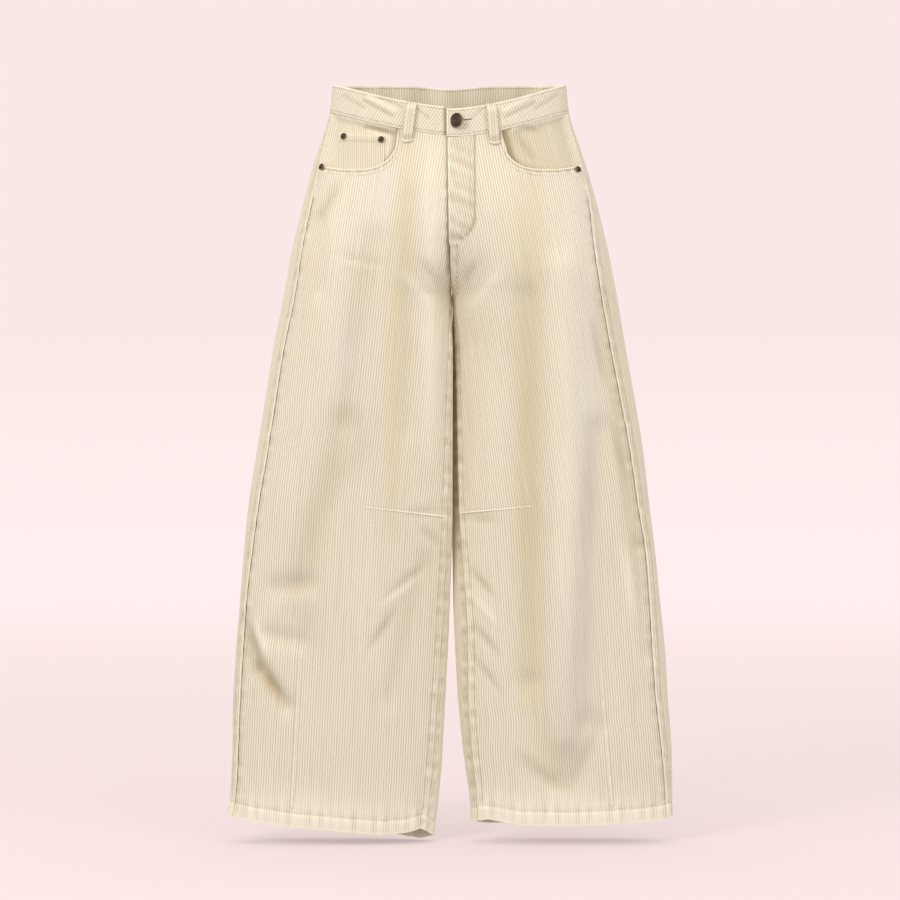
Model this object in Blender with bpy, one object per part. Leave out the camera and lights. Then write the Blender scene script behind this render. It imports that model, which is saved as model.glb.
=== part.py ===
"""Wide-leg corduroy trousers, filled out as if worn, hollow and open at the waist and both hems.

Units are metres. +X is the wearer's left, the front faces -Y and +Z is up. The origin is the centre
of the waist opening, level with the waistband's top edge at the side seams.

Every cloth piece is cut from one cloth surface. A point of it is named by leg, level and turn: level
is the height it would have with a flat waist and a flat hem, and turn runs round half the garment,
from the centre front (or the inner edge of the leg) at 0, past the outer side at 0.5, to the centre
back (or the inner edge again) at 1.
"""
from collections import namedtuple
from functools import lru_cache, partial
import math

import bmesh
import bpy
from mathutils import Vector
from mathutils.bvhtree import BVHTree
import numpy as np

NAME = "corduroy_trousers"
MM = 0.001

# Driving sizes
SEAM_GAP = 0.3 * MM            # between pieces that are sewn edge to edge
LAYER_GAP = 0.6 * MM           # between pieces that lie on each other
BAND_SEAM_GAP = 0.7 * MM       # the band is thicker than the panels, so its seam needs a little more
WALL = 1.8 * MM                # one layer of corduroy, pile included
HEM_WALL = 3.4 * MM            # the turned-up hem is two layers
BAND_HEIGHT = 39 * MM
BAND_PROUD = 0.5 * MM          # the band's face stands this far off the panels' faces
BAND_WALL = 3.0 * MM
CROTCH_LEVEL = -292 * MM
CROTCH_ROUND = 120 * MM        # height over which the rise seam curves in to the crotch
CROTCH_SHIFT = 3 * MM          # the crotch hangs this far to the wearer's left
LEG_GAP_RAMP = 30 * MM
LEG_LAP = 28 * MM              # the legs' inner sides slant by this much, so the gap isn't seen through
CROTCH_BAND = (-360 * MM, -208 * MM)     # where the panels' columns bend round the crotch
CREST_TOP = -60 * MM           # from here down the front's fullest line moves out from the middle
BEND_RADIUS = 45 * MM          # how much closer the samples are where the outline turns sharply
HEM_LEVEL = -1022 * MM
SIDE_POWER = 2.4               # outline |x/a|^2.4 + |y/b|^1.8 = 1: flat in front, sharper at the sides
DEPTH_POWER = 1.8
TURN_STEPS = 120               # samples round half an outline's front or back

# Waist line: how far the edge dips below the level, by side
WAIST_DIP = {"right": 36 * MM, "left": 39.5 * MM}
WAIST_DIP_POWER = 1.6
BACK_LIFT = 5.5 * MM
BACK_NOTCH = 4.5 * MM
BACK_NOTCH_WIDTH = 35 * MM
WAIST_FADE = (-270 * MM, -39 * MM)
HEM_FADE = (-1000 * MM, -760 * MM)

# Front pockets and fly
SCOOP_TOP_X = 72 * MM
SCOOP_LOW_X = 128 * MM
SCOOP_TOP_Z = -66 * MM
SCOOP_LOW_Z = -122.5 * MM
SCOOP_RISE = 6 * MM            # from its lowest point out to the side seam
SCOOP_ROUND = 2.6
FACING_INNER_X = 60 * MM
FACING_BOTTOM_Z = -138 * MM
FACING_WALL = 1.5 * MM
COIN_OUTER_X = 154 * MM
COIN_INNER_X = 90 * MM
COIN_TOP_Z = (-69.3 * MM, -75 * MM)      # at its outer and inner corner
COIN_BOTTOM_Z = -134 * MM
FLY_WIDTH = 34 * MM
FLY_BOTTOM_Z = -222 * MM
FLY_RAISE = 1.0 * MM
FLY_OVER = 4 * MM              # the fly's edge passes the centre front by this much
FLAP_OVER = 5 * MM             # the band's left end passes the centre front by this much
FLAP_UNDER = 28 * MM           # and its right end by this much, underneath
LAP_SLOPE = (9 * MM, 40 * MM)  # the right side sinks under the left between these distances
FLAP_LIFT = 1.4 * MM           # the end on top clears the right front's edge

# Hardware
LOOP_WIDTH = 12.5 * MM
LOOP_WALL = 2.2 * MM
LOOP_SLACK = 5.2 * MM          # room for a belt between the band and the loop
LOOP_DROP = 18 * MM            # the loop is sewn this far below the band
BUTTON_RADIUS = 9.4 * MM
RIVET_RADIUS = 4.4 * MM
ROUND_SIDES = 20

Section = namedtuple("Section", "level out_right out_left front back wrap_right wrap_left")
# Level, reach of each side, depth in front and behind, and how far each side seam lies in from the
# outline's edge, all in mm.
SECTIONS = (
    Section(0, 162.6, 161.2, 56, 54, 3, 3),
    Section(-39, 167.5, 165.4, 60, 58, 5, 5),
    Section(-90, 183.5, 182.1, 72, 74, 10, 8),
    Section(-111, 190.4, 189.0, 76, 80, 12, 9),
    Section(-160, 203.0, 203.0, 82, 92, 13, 12),
    Section(-229, 219.6, 219.6, 84, 95, 16, 21),
    Section(-292, 231.0, 232.0, 81, 90, 18, 24),
    Section(-368, 246.0, 244.6, 77, 83, 17, 23),
    Section(-438, 257.2, 257.2, 73, 75, 17, 22),
    Section(-507, 268.3, 268.3, 69, 68, 17, 20),
    Section(-577, 279.4, 276.6, 65, 61, 16, 18),
    Section(-646, 286.3, 285.0, 59, 56, 13, 15),
    Section(-716, 291.9, 291.9, 54, 52, 10, 16),
    Section(-785, 297.5, 298.9, 50, 48, 11, 19),
    Section(-855, 301.6, 303.0, 46, 44, 11, 18),
    Section(-924, 302.5, 308.0, 42, 40, 9, 15),
    Section(-980, 304.4, 309.0, 39, 37, 8, 11),
    Section(-1022, 308.0, 310.0, 37, 35, 6, 9),
)

Inner = namedtuple("Inner", "level in_right in_left tuck_right tuck_left")
# Below the crotch, in mm: where each leg's inner edge lies in X, and how far each inseam lies in
# from that edge, on the front.
INNERS = (
    Inner(-292, 3.0, 3.0, 0, 0),
    Inner(-400, 1.5, 4.5, 3, 4),
    Inner(-507, 1.5, 4.5, 5, 6),
    Inner(-595, 1.5, 4.5, 7, 8),
    Inner(-660, 1.2, 4.5, 8, 13),
    Inner(-716, 0.0, 4.4, 9, 18),
    Inner(-785, -2.8, 7.0, 10, 18),
    Inner(-855, -7.0, 11.1, 11, 14),
    Inner(-924, -11.1, 18.1, 12, 12),
    Inner(-980, -16.7, 26.4, 12, 10),
    Inner(-1022, -22.2, 29.2, 11, 10),
)

Hem = namedtuple("Hem", "across front back")
# The hems' true height in mm, from a leg's outer edge (0) to its inner edge (1).
HEMS = {
    "right": (
        Hem(0.00, -1014, -1014), Hem(0.10, -1019, -1018), Hem(0.30, -1027, -1025),
        Hem(0.55, -1033.5, -1033), Hem(0.75, -1038.5, -1041), Hem(0.87, -1036, -1047),
        Hem(0.94, -1031, -1049), Hem(1.00, -1043, -1043),
    ),
    "left": (
        Hem(0.00, -1016, -1016), Hem(0.08, -1019.4, -1021), Hem(0.30, -1023.6, -1026),
        Hem(0.50, -1025.6, -1028), Hem(0.75, -1025, -1028.5), Hem(0.92, -1018, -1028),
        Hem(1.00, -1024, -1024),
    ),
}

Fold = namedtuple("Fold", "leg face x0 z0 x1 z1 width height")
# The largest soft folds in mm: a line from (x0, z0) to (x1, z1) on the front or back of a leg, its
# width, and its height, which is negative for a trough.
FOLDS = (
    Fold("left", "front", 103, -300, 112, -820, 22, -8),
    Fold("left", "front", 150, -260, 157, -900, 20, 6),
    Fold("left", "front", 203, -480, 194, -880, 17, -6),
    Fold("left", "front", 112, -830, 144, -960, 16, -4),
    Fold("left", "front", 194, -880, 158, -965, 16, -4),
    Fold("left", "front", 210, -300, 262, -640, 12, -4),
    Fold("left", "front", 262, -640, 276, -790, 10, -4),
    Fold("right", "front", -107, -220, -144, -470, 18, -4),
    Fold("right", "front", -144, -470, -205, -690, 20, -7),
    Fold("right", "front", -240, -696, -195, -692, 13, -5),
    Fold("right", "front", -250, -762, -208, -770, 12, -5),
    Fold("right", "front", -288, -745, -264, -810, 9, -5),
    Fold("right", "front", -264, -810, -226, -860, 10, -6),
    Fold("right", "front", -34, -660, -82, -850, 14, -3),
    Fold("right", "front", -53, -165, -57, -480, 13, -3),
    Fold("right", "front", -178, -190, -180, -290, 10, -4),
    Fold("left", "back", 60, -330, 120, -470, 22, -5),
    Fold("left", "back", 190, -430, 180, -880, 24, -7),
    Fold("left", "back", 110, -520, 118, -900, 20, -5),
    Fold("left", "back", 30, -300, 120, -345, 16, -4),
    Fold("right", "back", -60, -330, -130, -500, 22, -5),
    Fold("right", "back", -175, -420, -190, -860, 24, -7),
    Fold("right", "back", -90, -560, -100, -880, 20, -4),
    Fold("right", "back", -30, -300, -125, -340, 16, -4),
)

# Levels of the rows that all four panels share, in mm
SHARED_LEVELS = (
    -160, -184, -208, -230, -248, -264, -276, -285, -292, -300, -312, -330, -354, -382, -411, -440,
    -469, -498, -527, -556, -582, -606, -633, -662, -690, -716, -742, -768, -794, -820, -848, -878,
    -908, -938, -970, -1001, -1002, -1022,
)
HEM_INNER_ROW = -1002          # the hem's second layer starts here
FRONT_COLUMNS = 12
SCOOP_COLUMN = 6               # the front panel's column that runs up the scoop's inner side
BACK_COLUMNS = 15

Colour = namedtuple("Colour", "red green blue roughness metallic")
CORDUROY = Colour(0.78, 0.70, 0.55, 0.95, 0.0)
CORDUROY_BAND = Colour(0.80, 0.73, 0.59, 0.95, 0.0)
POCKET_CLOTH = Colour(0.74, 0.66, 0.51, 0.95, 0.0)
ANTIQUE_BRASS = Colour(0.16, 0.13, 0.10, 0.42, 0.9)


# ---- The cloth surface

def side_sign(leg):
    """-1 for the wearer's right, which is at -X, and 1 for the left."""
    return -1.0 if leg == "right" else 1.0


def smooth_step(value, low, high):
    share = np.clip((value - low) / (high - low), 0.0, 1.0)
    return share * share * (3.0 - 2.0 * share)


def smooth_curve(x, xs, ys):
    """A cubic through a table's points, with each slope taken from the neighbours."""
    xs, ys = np.asarray(xs, float), np.asarray(ys, float)
    if xs[0] > xs[-1]:
        xs, ys = xs[::-1], ys[::-1]
    slopes = np.gradient(ys, xs)
    x = np.clip(x, xs[0], xs[-1])
    i = np.clip(np.searchsorted(xs, x) - 1, 0, len(xs) - 2)
    step = xs[i + 1] - xs[i]
    t = (x - xs[i]) / step
    return (
        ys[i] * (2 * t**3 - 3 * t**2 + 1) + ys[i + 1] * (3 * t**2 - 2 * t**3)
        + step * (slopes[i] * (t**3 - 2 * t**2 + t) + slopes[i + 1] * (t**3 - t**2))
    )


def section_size(level, column):
    """One column of SECTIONS at a level, in metres."""
    table = [getattr(row, column) for row in SECTIONS]
    return float(smooth_curve(level / MM, [row.level for row in SECTIONS], table)) * MM


def inner_size(level, column):
    """One column of INNERS at a level, in metres."""
    table = [getattr(row, column) for row in INNERS]
    return float(np.interp(-level / MM, [-row.level for row in INNERS], table)) * MM


def centre_x(leg, level):
    """X of the edge where a leg meets the middle, above the crotch, or of its inner edge below it."""
    sewn = CROTCH_SHIFT * min(1.0, level / CROTCH_LEVEL) + side_sign(leg) * SEAM_GAP / 2
    if level >= CROTCH_LEVEL:
        return sewn
    apart = smooth_step(CROTCH_LEVEL - level, 0.0, LEG_GAP_RAMP)
    start = side_sign(leg) * 1.5 * MM + CROTCH_SHIFT
    edge = inner_size(level, "in_" + leg) if level < -400 * MM else start
    return sewn + (edge - sewn) * float(apart)


def body_share(level):
    """1 where the two halves are one body, 0 below the crotch, and round between them."""
    up = np.clip((level - CROTCH_LEVEL) / CROTCH_ROUND, 0.0, 1.0)
    return math.sqrt(max(0.0, 1.0 - (1.0 - up) ** 2))


def waist_and_hem_shift(leg, level, across, is_front, x):
    """How far a point lies above or below its level, because waist and hem aren't flat."""
    near_waist = smooth_step(level, *WAIST_FADE)
    front = -WAIST_DIP[leg] * (1.0 - across**WAIST_DIP_POWER)
    back = BACK_LIFT * (1.0 - across**3) - BACK_NOTCH * np.exp(-((x / BACK_NOTCH_WIDTH) ** 2))
    waist = np.where(is_front, front, back) * near_waist
    near_hem = 1.0 - smooth_step(level, *HEM_FADE)
    if near_hem <= 0.0:
        return waist
    rows = HEMS[leg]
    places = [row.across for row in rows]
    inward = 1.0 - across
    in_front = np.interp(inward, places, [row.front for row in rows]) * MM
    behind = np.interp(inward, places, [row.back for row in rows]) * MM
    return waist + (np.where(is_front, in_front, behind) - HEM_LEVEL) * near_hem


def fold_height(leg, x, z, facing):
    """Height of the soft folds at points, where facing is -1 in front, 0 at the side, 1 behind."""
    total = np.zeros_like(x)
    for fold in FOLDS:
        if fold.leg != leg:
            continue
        weight = np.clip(-facing if fold.face == "front" else facing, 0.0, 1.0)
        along = np.array([fold.x1 - fold.x0, fold.z1 - fold.z0]) * MM
        dx, dz = x - fold.x0 * MM, z - fold.z0 * MM
        share = np.clip((dx * along[0] + dz * along[1]) / (along @ along), 0.0, 1.0)
        away = np.hypot(dx - share * along[0], dz - share * along[1])
        total += fold.height * MM * np.exp(-((away / (fold.width * MM)) ** 2)) * weight
    return total


def half_outline(inner, outer, depth, crest, centre_share):
    """The front or back half of an outline: an arc up from the middle, where its depth is a share
    of the whole, to a crest part of the way out, and an arc from there down to the outer side. The
    samples are closer together where it turns sharply."""
    quarter = np.linspace(0.0, math.pi / 2, TURN_STEPS + 1)
    start = math.asin(centre_share ** (DEPTH_POWER / 2))
    rise = start + (math.pi / 2 - start) * np.linspace(0.0, 1.0, TURN_STEPS + 1)
    widest = max(math.cos(start) ** (2 / SIDE_POWER), 1e-9)
    inside = crest * (1.0 - np.abs(np.cos(rise[:-1])) ** (2 / SIDE_POWER) / widest)
    inside[0] = 0.0
    outside = crest + (1.0 - crest) * np.abs(np.sin(quarter)) ** (2 / SIDE_POWER)
    x = inner + (outer - inner) * np.concatenate([inside, outside])
    y = depth * np.concatenate([
        np.sin(rise[:-1]) ** (2 / DEPTH_POWER), np.abs(np.cos(quarter)) ** (2 / DEPTH_POWER),
    ])
    apart = np.hypot(np.diff(x), np.diff(y)) > 0.01 * MM
    x, y = (values[np.concatenate([[True], apart])] for values in (x, y))
    dx, dy = np.diff(x), np.diff(y)
    heading = np.unwrap(np.arctan2(dy, dx))
    bend = np.concatenate([[0.0], np.abs(np.diff(heading))])
    measure = np.concatenate([[0.0], np.cumsum(np.hypot(dx, dy) + BEND_RADIUS * bend)])
    even = np.linspace(0.0, measure[-1], TURN_STEPS + 1)
    return np.interp(even, measure, x), np.interp(even, measure, y), measure[-1]


def outline_points(leg, level):
    """Points of one leg's outline at a level, from turn 0 to turn 1, and its halves' measures."""
    sign = side_sign(leg)
    outer = sign * section_size(level, "out_" + leg)
    inner = centre_x(leg, level)
    share = body_share(level)
    crest = 0.5 * (1.0 - float(smooth_step(level, CROTCH_LEVEL, CREST_TOP)))
    halves = [
        half_outline(inner, outer, depth, crest, share)
        for depth in (-section_size(level, "front"), section_size(level, "back"))
    ]
    (front_x, front_y, front_measure), (back_x, back_y, back_measure) = halves
    x = np.concatenate([front_x, back_x[-2::-1]])
    y = np.concatenate([front_y, back_y[-2::-1]])
    is_front = np.arange(len(x)) <= TURN_STEPS
    across = np.clip((x - inner) / (outer - inner), 0.0, 1.0)
    z = level + waist_and_hem_shift(leg, level, across, is_front, x)
    below = float(smooth_step(CROTCH_LEVEL - level, 0.0, 80 * MM))
    below *= 1.0 - float(smooth_step(-level, 600 * MM, 780 * MM))
    x = x - LEG_LAP * below * (y / section_size(level, "front")) * (1.0 - across) ** 4
    dx, dy = np.gradient(x), np.gradient(y)
    length = np.hypot(dx, dy)
    out_x, out_y = sign * dy / length, -sign * dx / length
    height = fold_height(leg, x, z, out_y)
    points = np.column_stack([x + out_x * height, y + out_y * height, z])
    return points, (front_measure, back_measure)


Outline = namedtuple("Outline", "points normals arc measures out_turn in_turn closed")


@lru_cache(maxsize=None)
def outline(leg, level):
    """One leg's outline with its outward normals, its length along and the turns of its seams."""
    points, measures = outline_points(leg, level)
    closed = level <= CROTCH_LEVEL
    step = 1.0 * MM
    rise = outline_points(leg, level + step)[0] - outline_points(leg, level - step)[0]
    along = np.gradient(points, axis=0)
    if closed:
        along[0] = along[-1] = points[1] - points[-2]
    normals = np.cross(along, rise) * side_sign(leg)
    normals /= np.linalg.norm(normals, axis=1)[:, None]
    arc = np.concatenate([[0.0], np.cumsum(np.linalg.norm(np.diff(points, axis=0), axis=1))])
    turns = np.linspace(0.0, 1.0, len(points))
    reach = side_sign(leg) * (points[: TURN_STEPS + 1, 0] - points[0, 0])
    first = int(np.argmin(reach[: TURN_STEPS // 2]))
    reach = np.maximum.accumulate(reach[first:])
    front_turns = turns[first : TURN_STEPS + 1]
    wrap = section_size(level, "wrap_" + leg)
    out_turn = float(np.interp(reach[-1] - wrap, reach, front_turns))
    in_turn = 0.0
    if closed:
        tuck = reach[0] + inner_size(level, "tuck_" + leg)
        in_turn = float(np.interp(tuck, reach, front_turns)) if tuck > reach[0] else 0.0
    return Outline(points, normals, arc, measures, out_turn, in_turn, closed)


def at_turn(leg, level, turn, out=0.0):
    """A point of the cloth surface, moved out along its normal. Above the crotch, a turn below 0
    lies past the centre front, on this side's mirror image."""
    shape = outline(leg, level)
    if shape.closed:
        turn = turn % 1.0
    place = min(abs(turn), 1.0) * (len(shape.points) - 1)
    low = min(int(place), len(shape.points) - 2)
    share = place - low
    point = shape.points[low] * (1 - share) + shape.points[low + 1] * share
    normal = shape.normals[low] * (1 - share) + shape.normals[low + 1] * share
    if turn < 0.0:
        point[0] = 2 * shape.points[0][0] - point[0]
        normal[0] = -normal[0]
    return point + normal / np.linalg.norm(normal) * out


def normal_at(leg, level, turn):
    return (at_turn(leg, level, turn, MM) - at_turn(leg, level, turn)) / MM


def turn_step(leg, level, turn, distance):
    """The turn that lies a short distance further round."""
    shape = outline(leg, level)
    turns = np.linspace(0.0, 1.0, len(shape.arc))
    whole = math.floor(turn)
    arc = np.interp(turn - whole, turns, shape.arc) + distance
    total = shape.arc[-1]
    if 0.0 <= arc <= total:
        return whole + float(np.interp(arc, shape.arc, turns))
    if not shape.closed:
        return -float(np.interp(-arc, shape.arc, turns)) if arc < 0.0 else 1.0
    return whole + (1.0 if arc > total else -1.0) + float(np.interp(arc % total, shape.arc, turns))


def panel_measure(leg, level, face):
    """How far it is from the side seam to a panel's inner edge."""
    shape = outline(leg, level)
    front, back = shape.measures
    if face == "front":
        return 2 * front * (shape.out_turn - shape.in_turn)
    return 2 * front * (0.5 - shape.out_turn + shape.in_turn) + back


def column_turn(leg, level, face, share):
    """The turn of a panel's column, from the side seam (0) to its inner edge (1). Near the crotch
    that edge moves fast, and only the columns next to it follow."""
    own = panel_measure(leg, level, face)
    even = own
    low, high = CROTCH_BAND
    if low < level < high:
        part = (level - low) / (high - low)
        even = (
            panel_measure(leg, low, face) * (1 - part) + panel_measure(leg, high, face) * part
        )
    away = even * share + (own - even) * share**4
    shape = outline(leg, level)
    front, back = shape.measures
    if face == "front":
        turn = shape.out_turn - away / (2 * front)
        edge_gap = SEAM_GAP / 2
    else:
        to_side = 2 * front * (0.5 - shape.out_turn)
        turn = shape.out_turn + away / (2 * front)
        if away > to_side:
            turn = 0.5 + (away - to_side) / (2 * back)
        if turn > 1.0:
            turn = 1.0 + (turn - 1.0) * back / front
        edge_gap = -SEAM_GAP / 2
    if share == 0.0:
        return turn_step(leg, level, shape.out_turn, -edge_gap)
    if share == 1.0 and shape.closed:
        return turn_step(leg, level, shape.in_turn + (face == "back"), edge_gap)
    return turn


def front_place(leg, x, z):
    """Level and turn of the front point with a given distance from the middle and height."""
    level, turn = z, 0.25
    for _ in range(12):
        shape = outline(leg, round(level, 5))
        front_x = np.maximum.accumulate(side_sign(leg) * shape.points[: TURN_STEPS + 1, 0])
        turn = float(np.interp(x, front_x, np.linspace(0.0, 0.5, TURN_STEPS + 1)))
        level += z - at_turn(leg, round(level, 5), turn)[2]
    return round(level, 5), turn


# ---- Meshes

def material(name, colour):
    found = bpy.data.materials.get(name)
    if found:
        return found
    made = bpy.data.materials.new(name)
    made.use_nodes = True
    shader = made.node_tree.nodes["Principled BSDF"]
    shader.inputs["Base Color"].default_value = (colour.red, colour.green, colour.blue, 1.0)
    shader.inputs["Roughness"].default_value = colour.roughness
    shader.inputs["Metallic"].default_value = colour.metallic
    return made


def new_object(name, mesh, collection, finish_name, colour, sharp=40):
    made = bpy.data.objects.new(name, mesh)
    collection.objects.link(made)
    mesh.materials.append(material(finish_name, colour))
    mesh.shade_smooth()
    mesh.set_sharp_from_angle(angle=math.radians(sharp))
    return made


def wall_mesh(name, outer, inner):
    """A closed wall between two grids of points, where None leaves a hole in the grid."""
    made = bmesh.new()
    faces = []
    for grid, outward in ((outer, True), (inner, False)):
        vertices = [[None if p is None else made.verts.new(p) for p in row] for row in grid]
        count = 0
        for i in range(len(vertices) - 1):
            for j in range(len(vertices[i]) - 1):
                corners = (
                    vertices[i][j], vertices[i][j + 1], vertices[i + 1][j + 1], vertices[i + 1][j]
                )
                if None in corners:
                    continue
                made.faces.new(corners if outward else corners[::-1])
                count += 1
        faces.append((vertices, count))
    made.verts.ensure_lookup_table()
    twin = {}
    for row_out, row_in in zip(faces[0][0], faces[1][0]):
        for a, b in zip(row_out, row_in):
            if a is not None:
                twin[a] = b
    open_edges = [e for e in made.edges if len(e.link_faces) == 1 and e.verts[0] in twin]
    for edge in open_edges:
        a, b = edge.verts
        made.faces.new((a, b, twin[b], twin[a]))
    loose = [v for v in made.verts if not v.link_faces]
    bmesh.ops.delete(made, geom=loose, context="VERTS")
    bmesh.ops.recalc_face_normals(made, faces=made.faces)
    mesh = bpy.data.meshes.new(name)
    made.to_mesh(mesh)
    made.free()
    return mesh


def cloth_wall(name, leg, grid, shift, wall, relief=0.0):
    """A wall on the cloth surface. grid holds (level, turn) or None. shift moves the whole wall out,
    wall is its thickness and relief raises its face alone, each a number or a function of the spot."""
    def value(size, spot):
        return size(*spot) if callable(size) else size

    def points(offset):
        return [[None if s is None else at_turn(leg, *s, offset(s)) for s in row] for row in grid]

    outer = points(lambda s: value(shift, s) + value(relief, s))
    inner = points(lambda s: value(shift, s) - value(wall, s))
    return wall_mesh(name, outer, inner)


# ---- Pieces

def scoop_point(share):
    """The pocket mouth: (distance from the middle, height) from the band (0) to the side seam (1)."""
    if share <= 0.6:
        angle = share / 0.6 * math.pi / 2
        x = SCOOP_LOW_X - (SCOOP_LOW_X - SCOOP_TOP_X) * math.cos(angle) ** (2 / SCOOP_ROUND)
        z = SCOOP_TOP_Z + (SCOOP_LOW_Z - SCOOP_TOP_Z) * math.sin(angle) ** (2 / SCOOP_ROUND)
        return x, z
    outward = (share - 0.6) / 0.4
    return SCOOP_LOW_X + 44 * MM * outward, SCOOP_LOW_Z + SCOOP_RISE * outward**2


def front_levels(leg):
    """Rows of a front panel: those above the scoop's corner, and those below it."""
    corner_level, corner_turn = front_place(leg, *scoop_point(0.33))
    upper = np.linspace(-BAND_HEIGHT - BAND_SEAM_GAP / 2, corner_level, 5)
    return [round(float(v), 5) for v in upper], corner_level, corner_turn


def front_grid(leg):
    upper, corner_level, corner_turn = front_levels(leg)
    grid = []
    for row, level in enumerate(upper[:-1]):
        share = row / (len(upper) - 1) * 0.33
        edge_level, edge_turn = front_place(leg, *scoop_point(share))
        spots = []
        for column in range(FRONT_COLUMNS + 1):
            if column > SCOOP_COLUMN:
                spots.append(None)
                continue
            across = column / SCOOP_COLUMN
            own = level + (edge_level - level) * across**4 if row else level
            spots.append((round(own, 5), edge_turn * across))
        grid.append(spots)
    scoop_row = [(corner_level, corner_turn * c / SCOOP_COLUMN) for c in range(SCOOP_COLUMN + 1)]
    for column in range(SCOOP_COLUMN + 1, FRONT_COLUMNS + 1):
        share = 0.33 + 0.67 * (column - SCOOP_COLUMN) / (FRONT_COLUMNS - SCOOP_COLUMN)
        level, turn = front_place(leg, *scoop_point(share))
        if column == FRONT_COLUMNS:
            turn = turn_step(leg, level, outline(leg, level).out_turn, -SEAM_GAP / 2)
        scoop_row.append((level, turn))
    grid.append(scoop_row)
    first_shared = SHARED_LEVELS[0] * MM
    for step in (0.3, 0.65):
        row = []
        for column, (level, turn) in enumerate(scoop_row):
            own = round(level + (first_shared - level) * step, 5)
            even = column_turn(leg, own, "front", 1.0 - column / FRONT_COLUMNS)
            if column < FRONT_COLUMNS:
                even = turn + (even - turn) * step
            row.append((own, even))
        grid.append(row)
    for level_mm in SHARED_LEVELS:
        level = round(level_mm * MM, 5)
        grid.append([
            (level, column_turn(leg, level, "front", 1.0 - c / FRONT_COLUMNS))
            for c in range(FRONT_COLUMNS + 1)
        ])
    if leg == "left":
        grid = [[with_fly_lap(spot) if c == 0 else spot for c, spot in enumerate(r)] for r in grid]
    return grid


def with_fly_lap(spot):
    """The left front's edge passes the centre a little along the fly, over the right front."""
    level, turn = spot
    if turn != 0.0 or at_turn("left", level, turn)[2] < FLY_BOTTOM_Z:
        return spot
    return level, turn_step("left", level, 0.0, -FLY_OVER)


def back_grid(leg):
    top = [-BAND_HEIGHT - BAND_SEAM_GAP / 2, -62 * MM, -86 * MM, -110 * MM, -134 * MM]
    levels = [round(v, 5) for v in top] + [round(v * MM, 5) for v in SHARED_LEVELS]
    return [
        [(level, column_turn(leg, level, "back", c / BACK_COLUMNS)) for c in range(BACK_COLUMNS + 1)]
        for level in levels
    ]


def panel_wall(level, _turn):
    """Thickness of a panel: the hem's turned-up edge makes it two layers."""
    return HEM_WALL if level / MM <= HEM_INNER_ROW + 0.5 else WALL


def lap_sink(distance):
    """How far the wearer's right side sinks under the left at a distance from the centre front."""
    return (BAND_WALL + SEAM_GAP) * (1.0 - float(smooth_step(distance, *LAP_SLOPE)))


def under_fly(level, turn):
    """How the right front sinks where it passes under the fly's edge."""
    point = at_turn("right", level, turn)
    return -lap_sink(-point[0]) * float(smooth_step(point[2], FLY_BOTTOM_Z - 30 * MM, FLY_BOTTOM_Z))


def fly_relief(level, turn):
    """The left front's face, raised where the fly's layers lie under it, down to a rounded end."""
    point = at_turn("left", level, turn)
    down = np.clip((point[2] - FLY_BOTTOM_Z) / FLY_WIDTH, 0.0, 1.0)
    width = FLY_WIDTH * math.sqrt(1.0 - (1.0 - down) ** 2)
    return FLY_RAISE if point[0] < width and point[2] > FLY_BOTTOM_Z else 0.0


def add_panels(collection):
    for leg in ("right", "left"):
        shift, relief = (0.0, fly_relief) if leg == "left" else (under_fly, 0.0)
        mesh = cloth_wall("front_" + leg, leg, front_grid(leg), shift, panel_wall, relief)
        new_object("front_" + leg, mesh, collection, "corduroy", CORDUROY)
        mesh = cloth_wall("back_" + leg, leg, back_grid(leg), 0.0, panel_wall)
        new_object("back_" + leg, mesh, collection, "corduroy", CORDUROY)


def flat_grid(leg, rows, columns, corner):
    """A grid of cloth spots under or on the front, where corner(u, v) gives x and z."""
    return [
        [front_place(leg, *corner(column / columns, row / rows)) for column in range(columns + 1)]
        for row in range(rows + 1)
    ]


def facing_shift(leg, level, turn):
    """A pocket facing lies under the front, and comes up flush at the band and the side seam."""
    deep = WALL + 2 * LAYER_GAP + (FACING_WALL if leg == "right" else 0.2 * MM)
    point = at_turn(leg, level, turn)
    shape = outline(leg, level)
    to_side = np.interp(shape.out_turn, np.linspace(0, 1, len(shape.arc)), shape.arc)
    to_side -= np.interp(turn, np.linspace(0, 1, len(shape.arc)), shape.arc)
    near_side = 1.0 - float(smooth_step(to_side, 1 * MM, 14 * MM))
    near_band = float(smooth_step(level, -BAND_HEIGHT - 9 * MM, -BAND_HEIGHT - 1 * MM))
    inward = max(0.0, (SCOOP_LOW_X - abs(point[0])) / (SCOOP_LOW_X - SCOOP_TOP_X))
    down = max(0.0, (SCOOP_TOP_Z - point[2]) / (SCOOP_TOP_Z - SCOOP_LOW_Z))
    reach = (inward**SCOOP_ROUND + down**SCOOP_ROUND) ** (1 / SCOOP_ROUND)
    seen = 1.0 - float(smooth_step(reach, 0.68, 0.86))
    return -deep * (1.0 - max(near_side, near_band) * seen)


def add_pocket_facings(collection):
    """The cloth seen inside each pocket mouth. The coin pocket lies between it and the right front."""
    rows, columns = 7, 10
    for leg in ("right", "left"):
        top = -BAND_HEIGHT - BAND_SEAM_GAP / 2
        inner_turn = front_place(leg, FACING_INNER_X, -90 * MM)[1]
        low = front_place(leg, 110 * MM, FACING_BOTTOM_Z)[0]
        grid = []
        for row in range(rows + 1):
            level = round(top + (low - top) * (row / rows) ** 1.3, 5)
            last = turn_step(leg, level, outline(leg, level).out_turn, -SEAM_GAP)
            grid.append([
                (level, inner_turn + (last - inner_turn) * c / columns) for c in range(columns + 1)
            ])
        name = "pocket_facing_" + leg
        mesh = cloth_wall(name, leg, grid, partial(facing_shift, leg), FACING_WALL)
        new_object(name, mesh, collection, "pocket_corduroy", POCKET_CLOTH)


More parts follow.
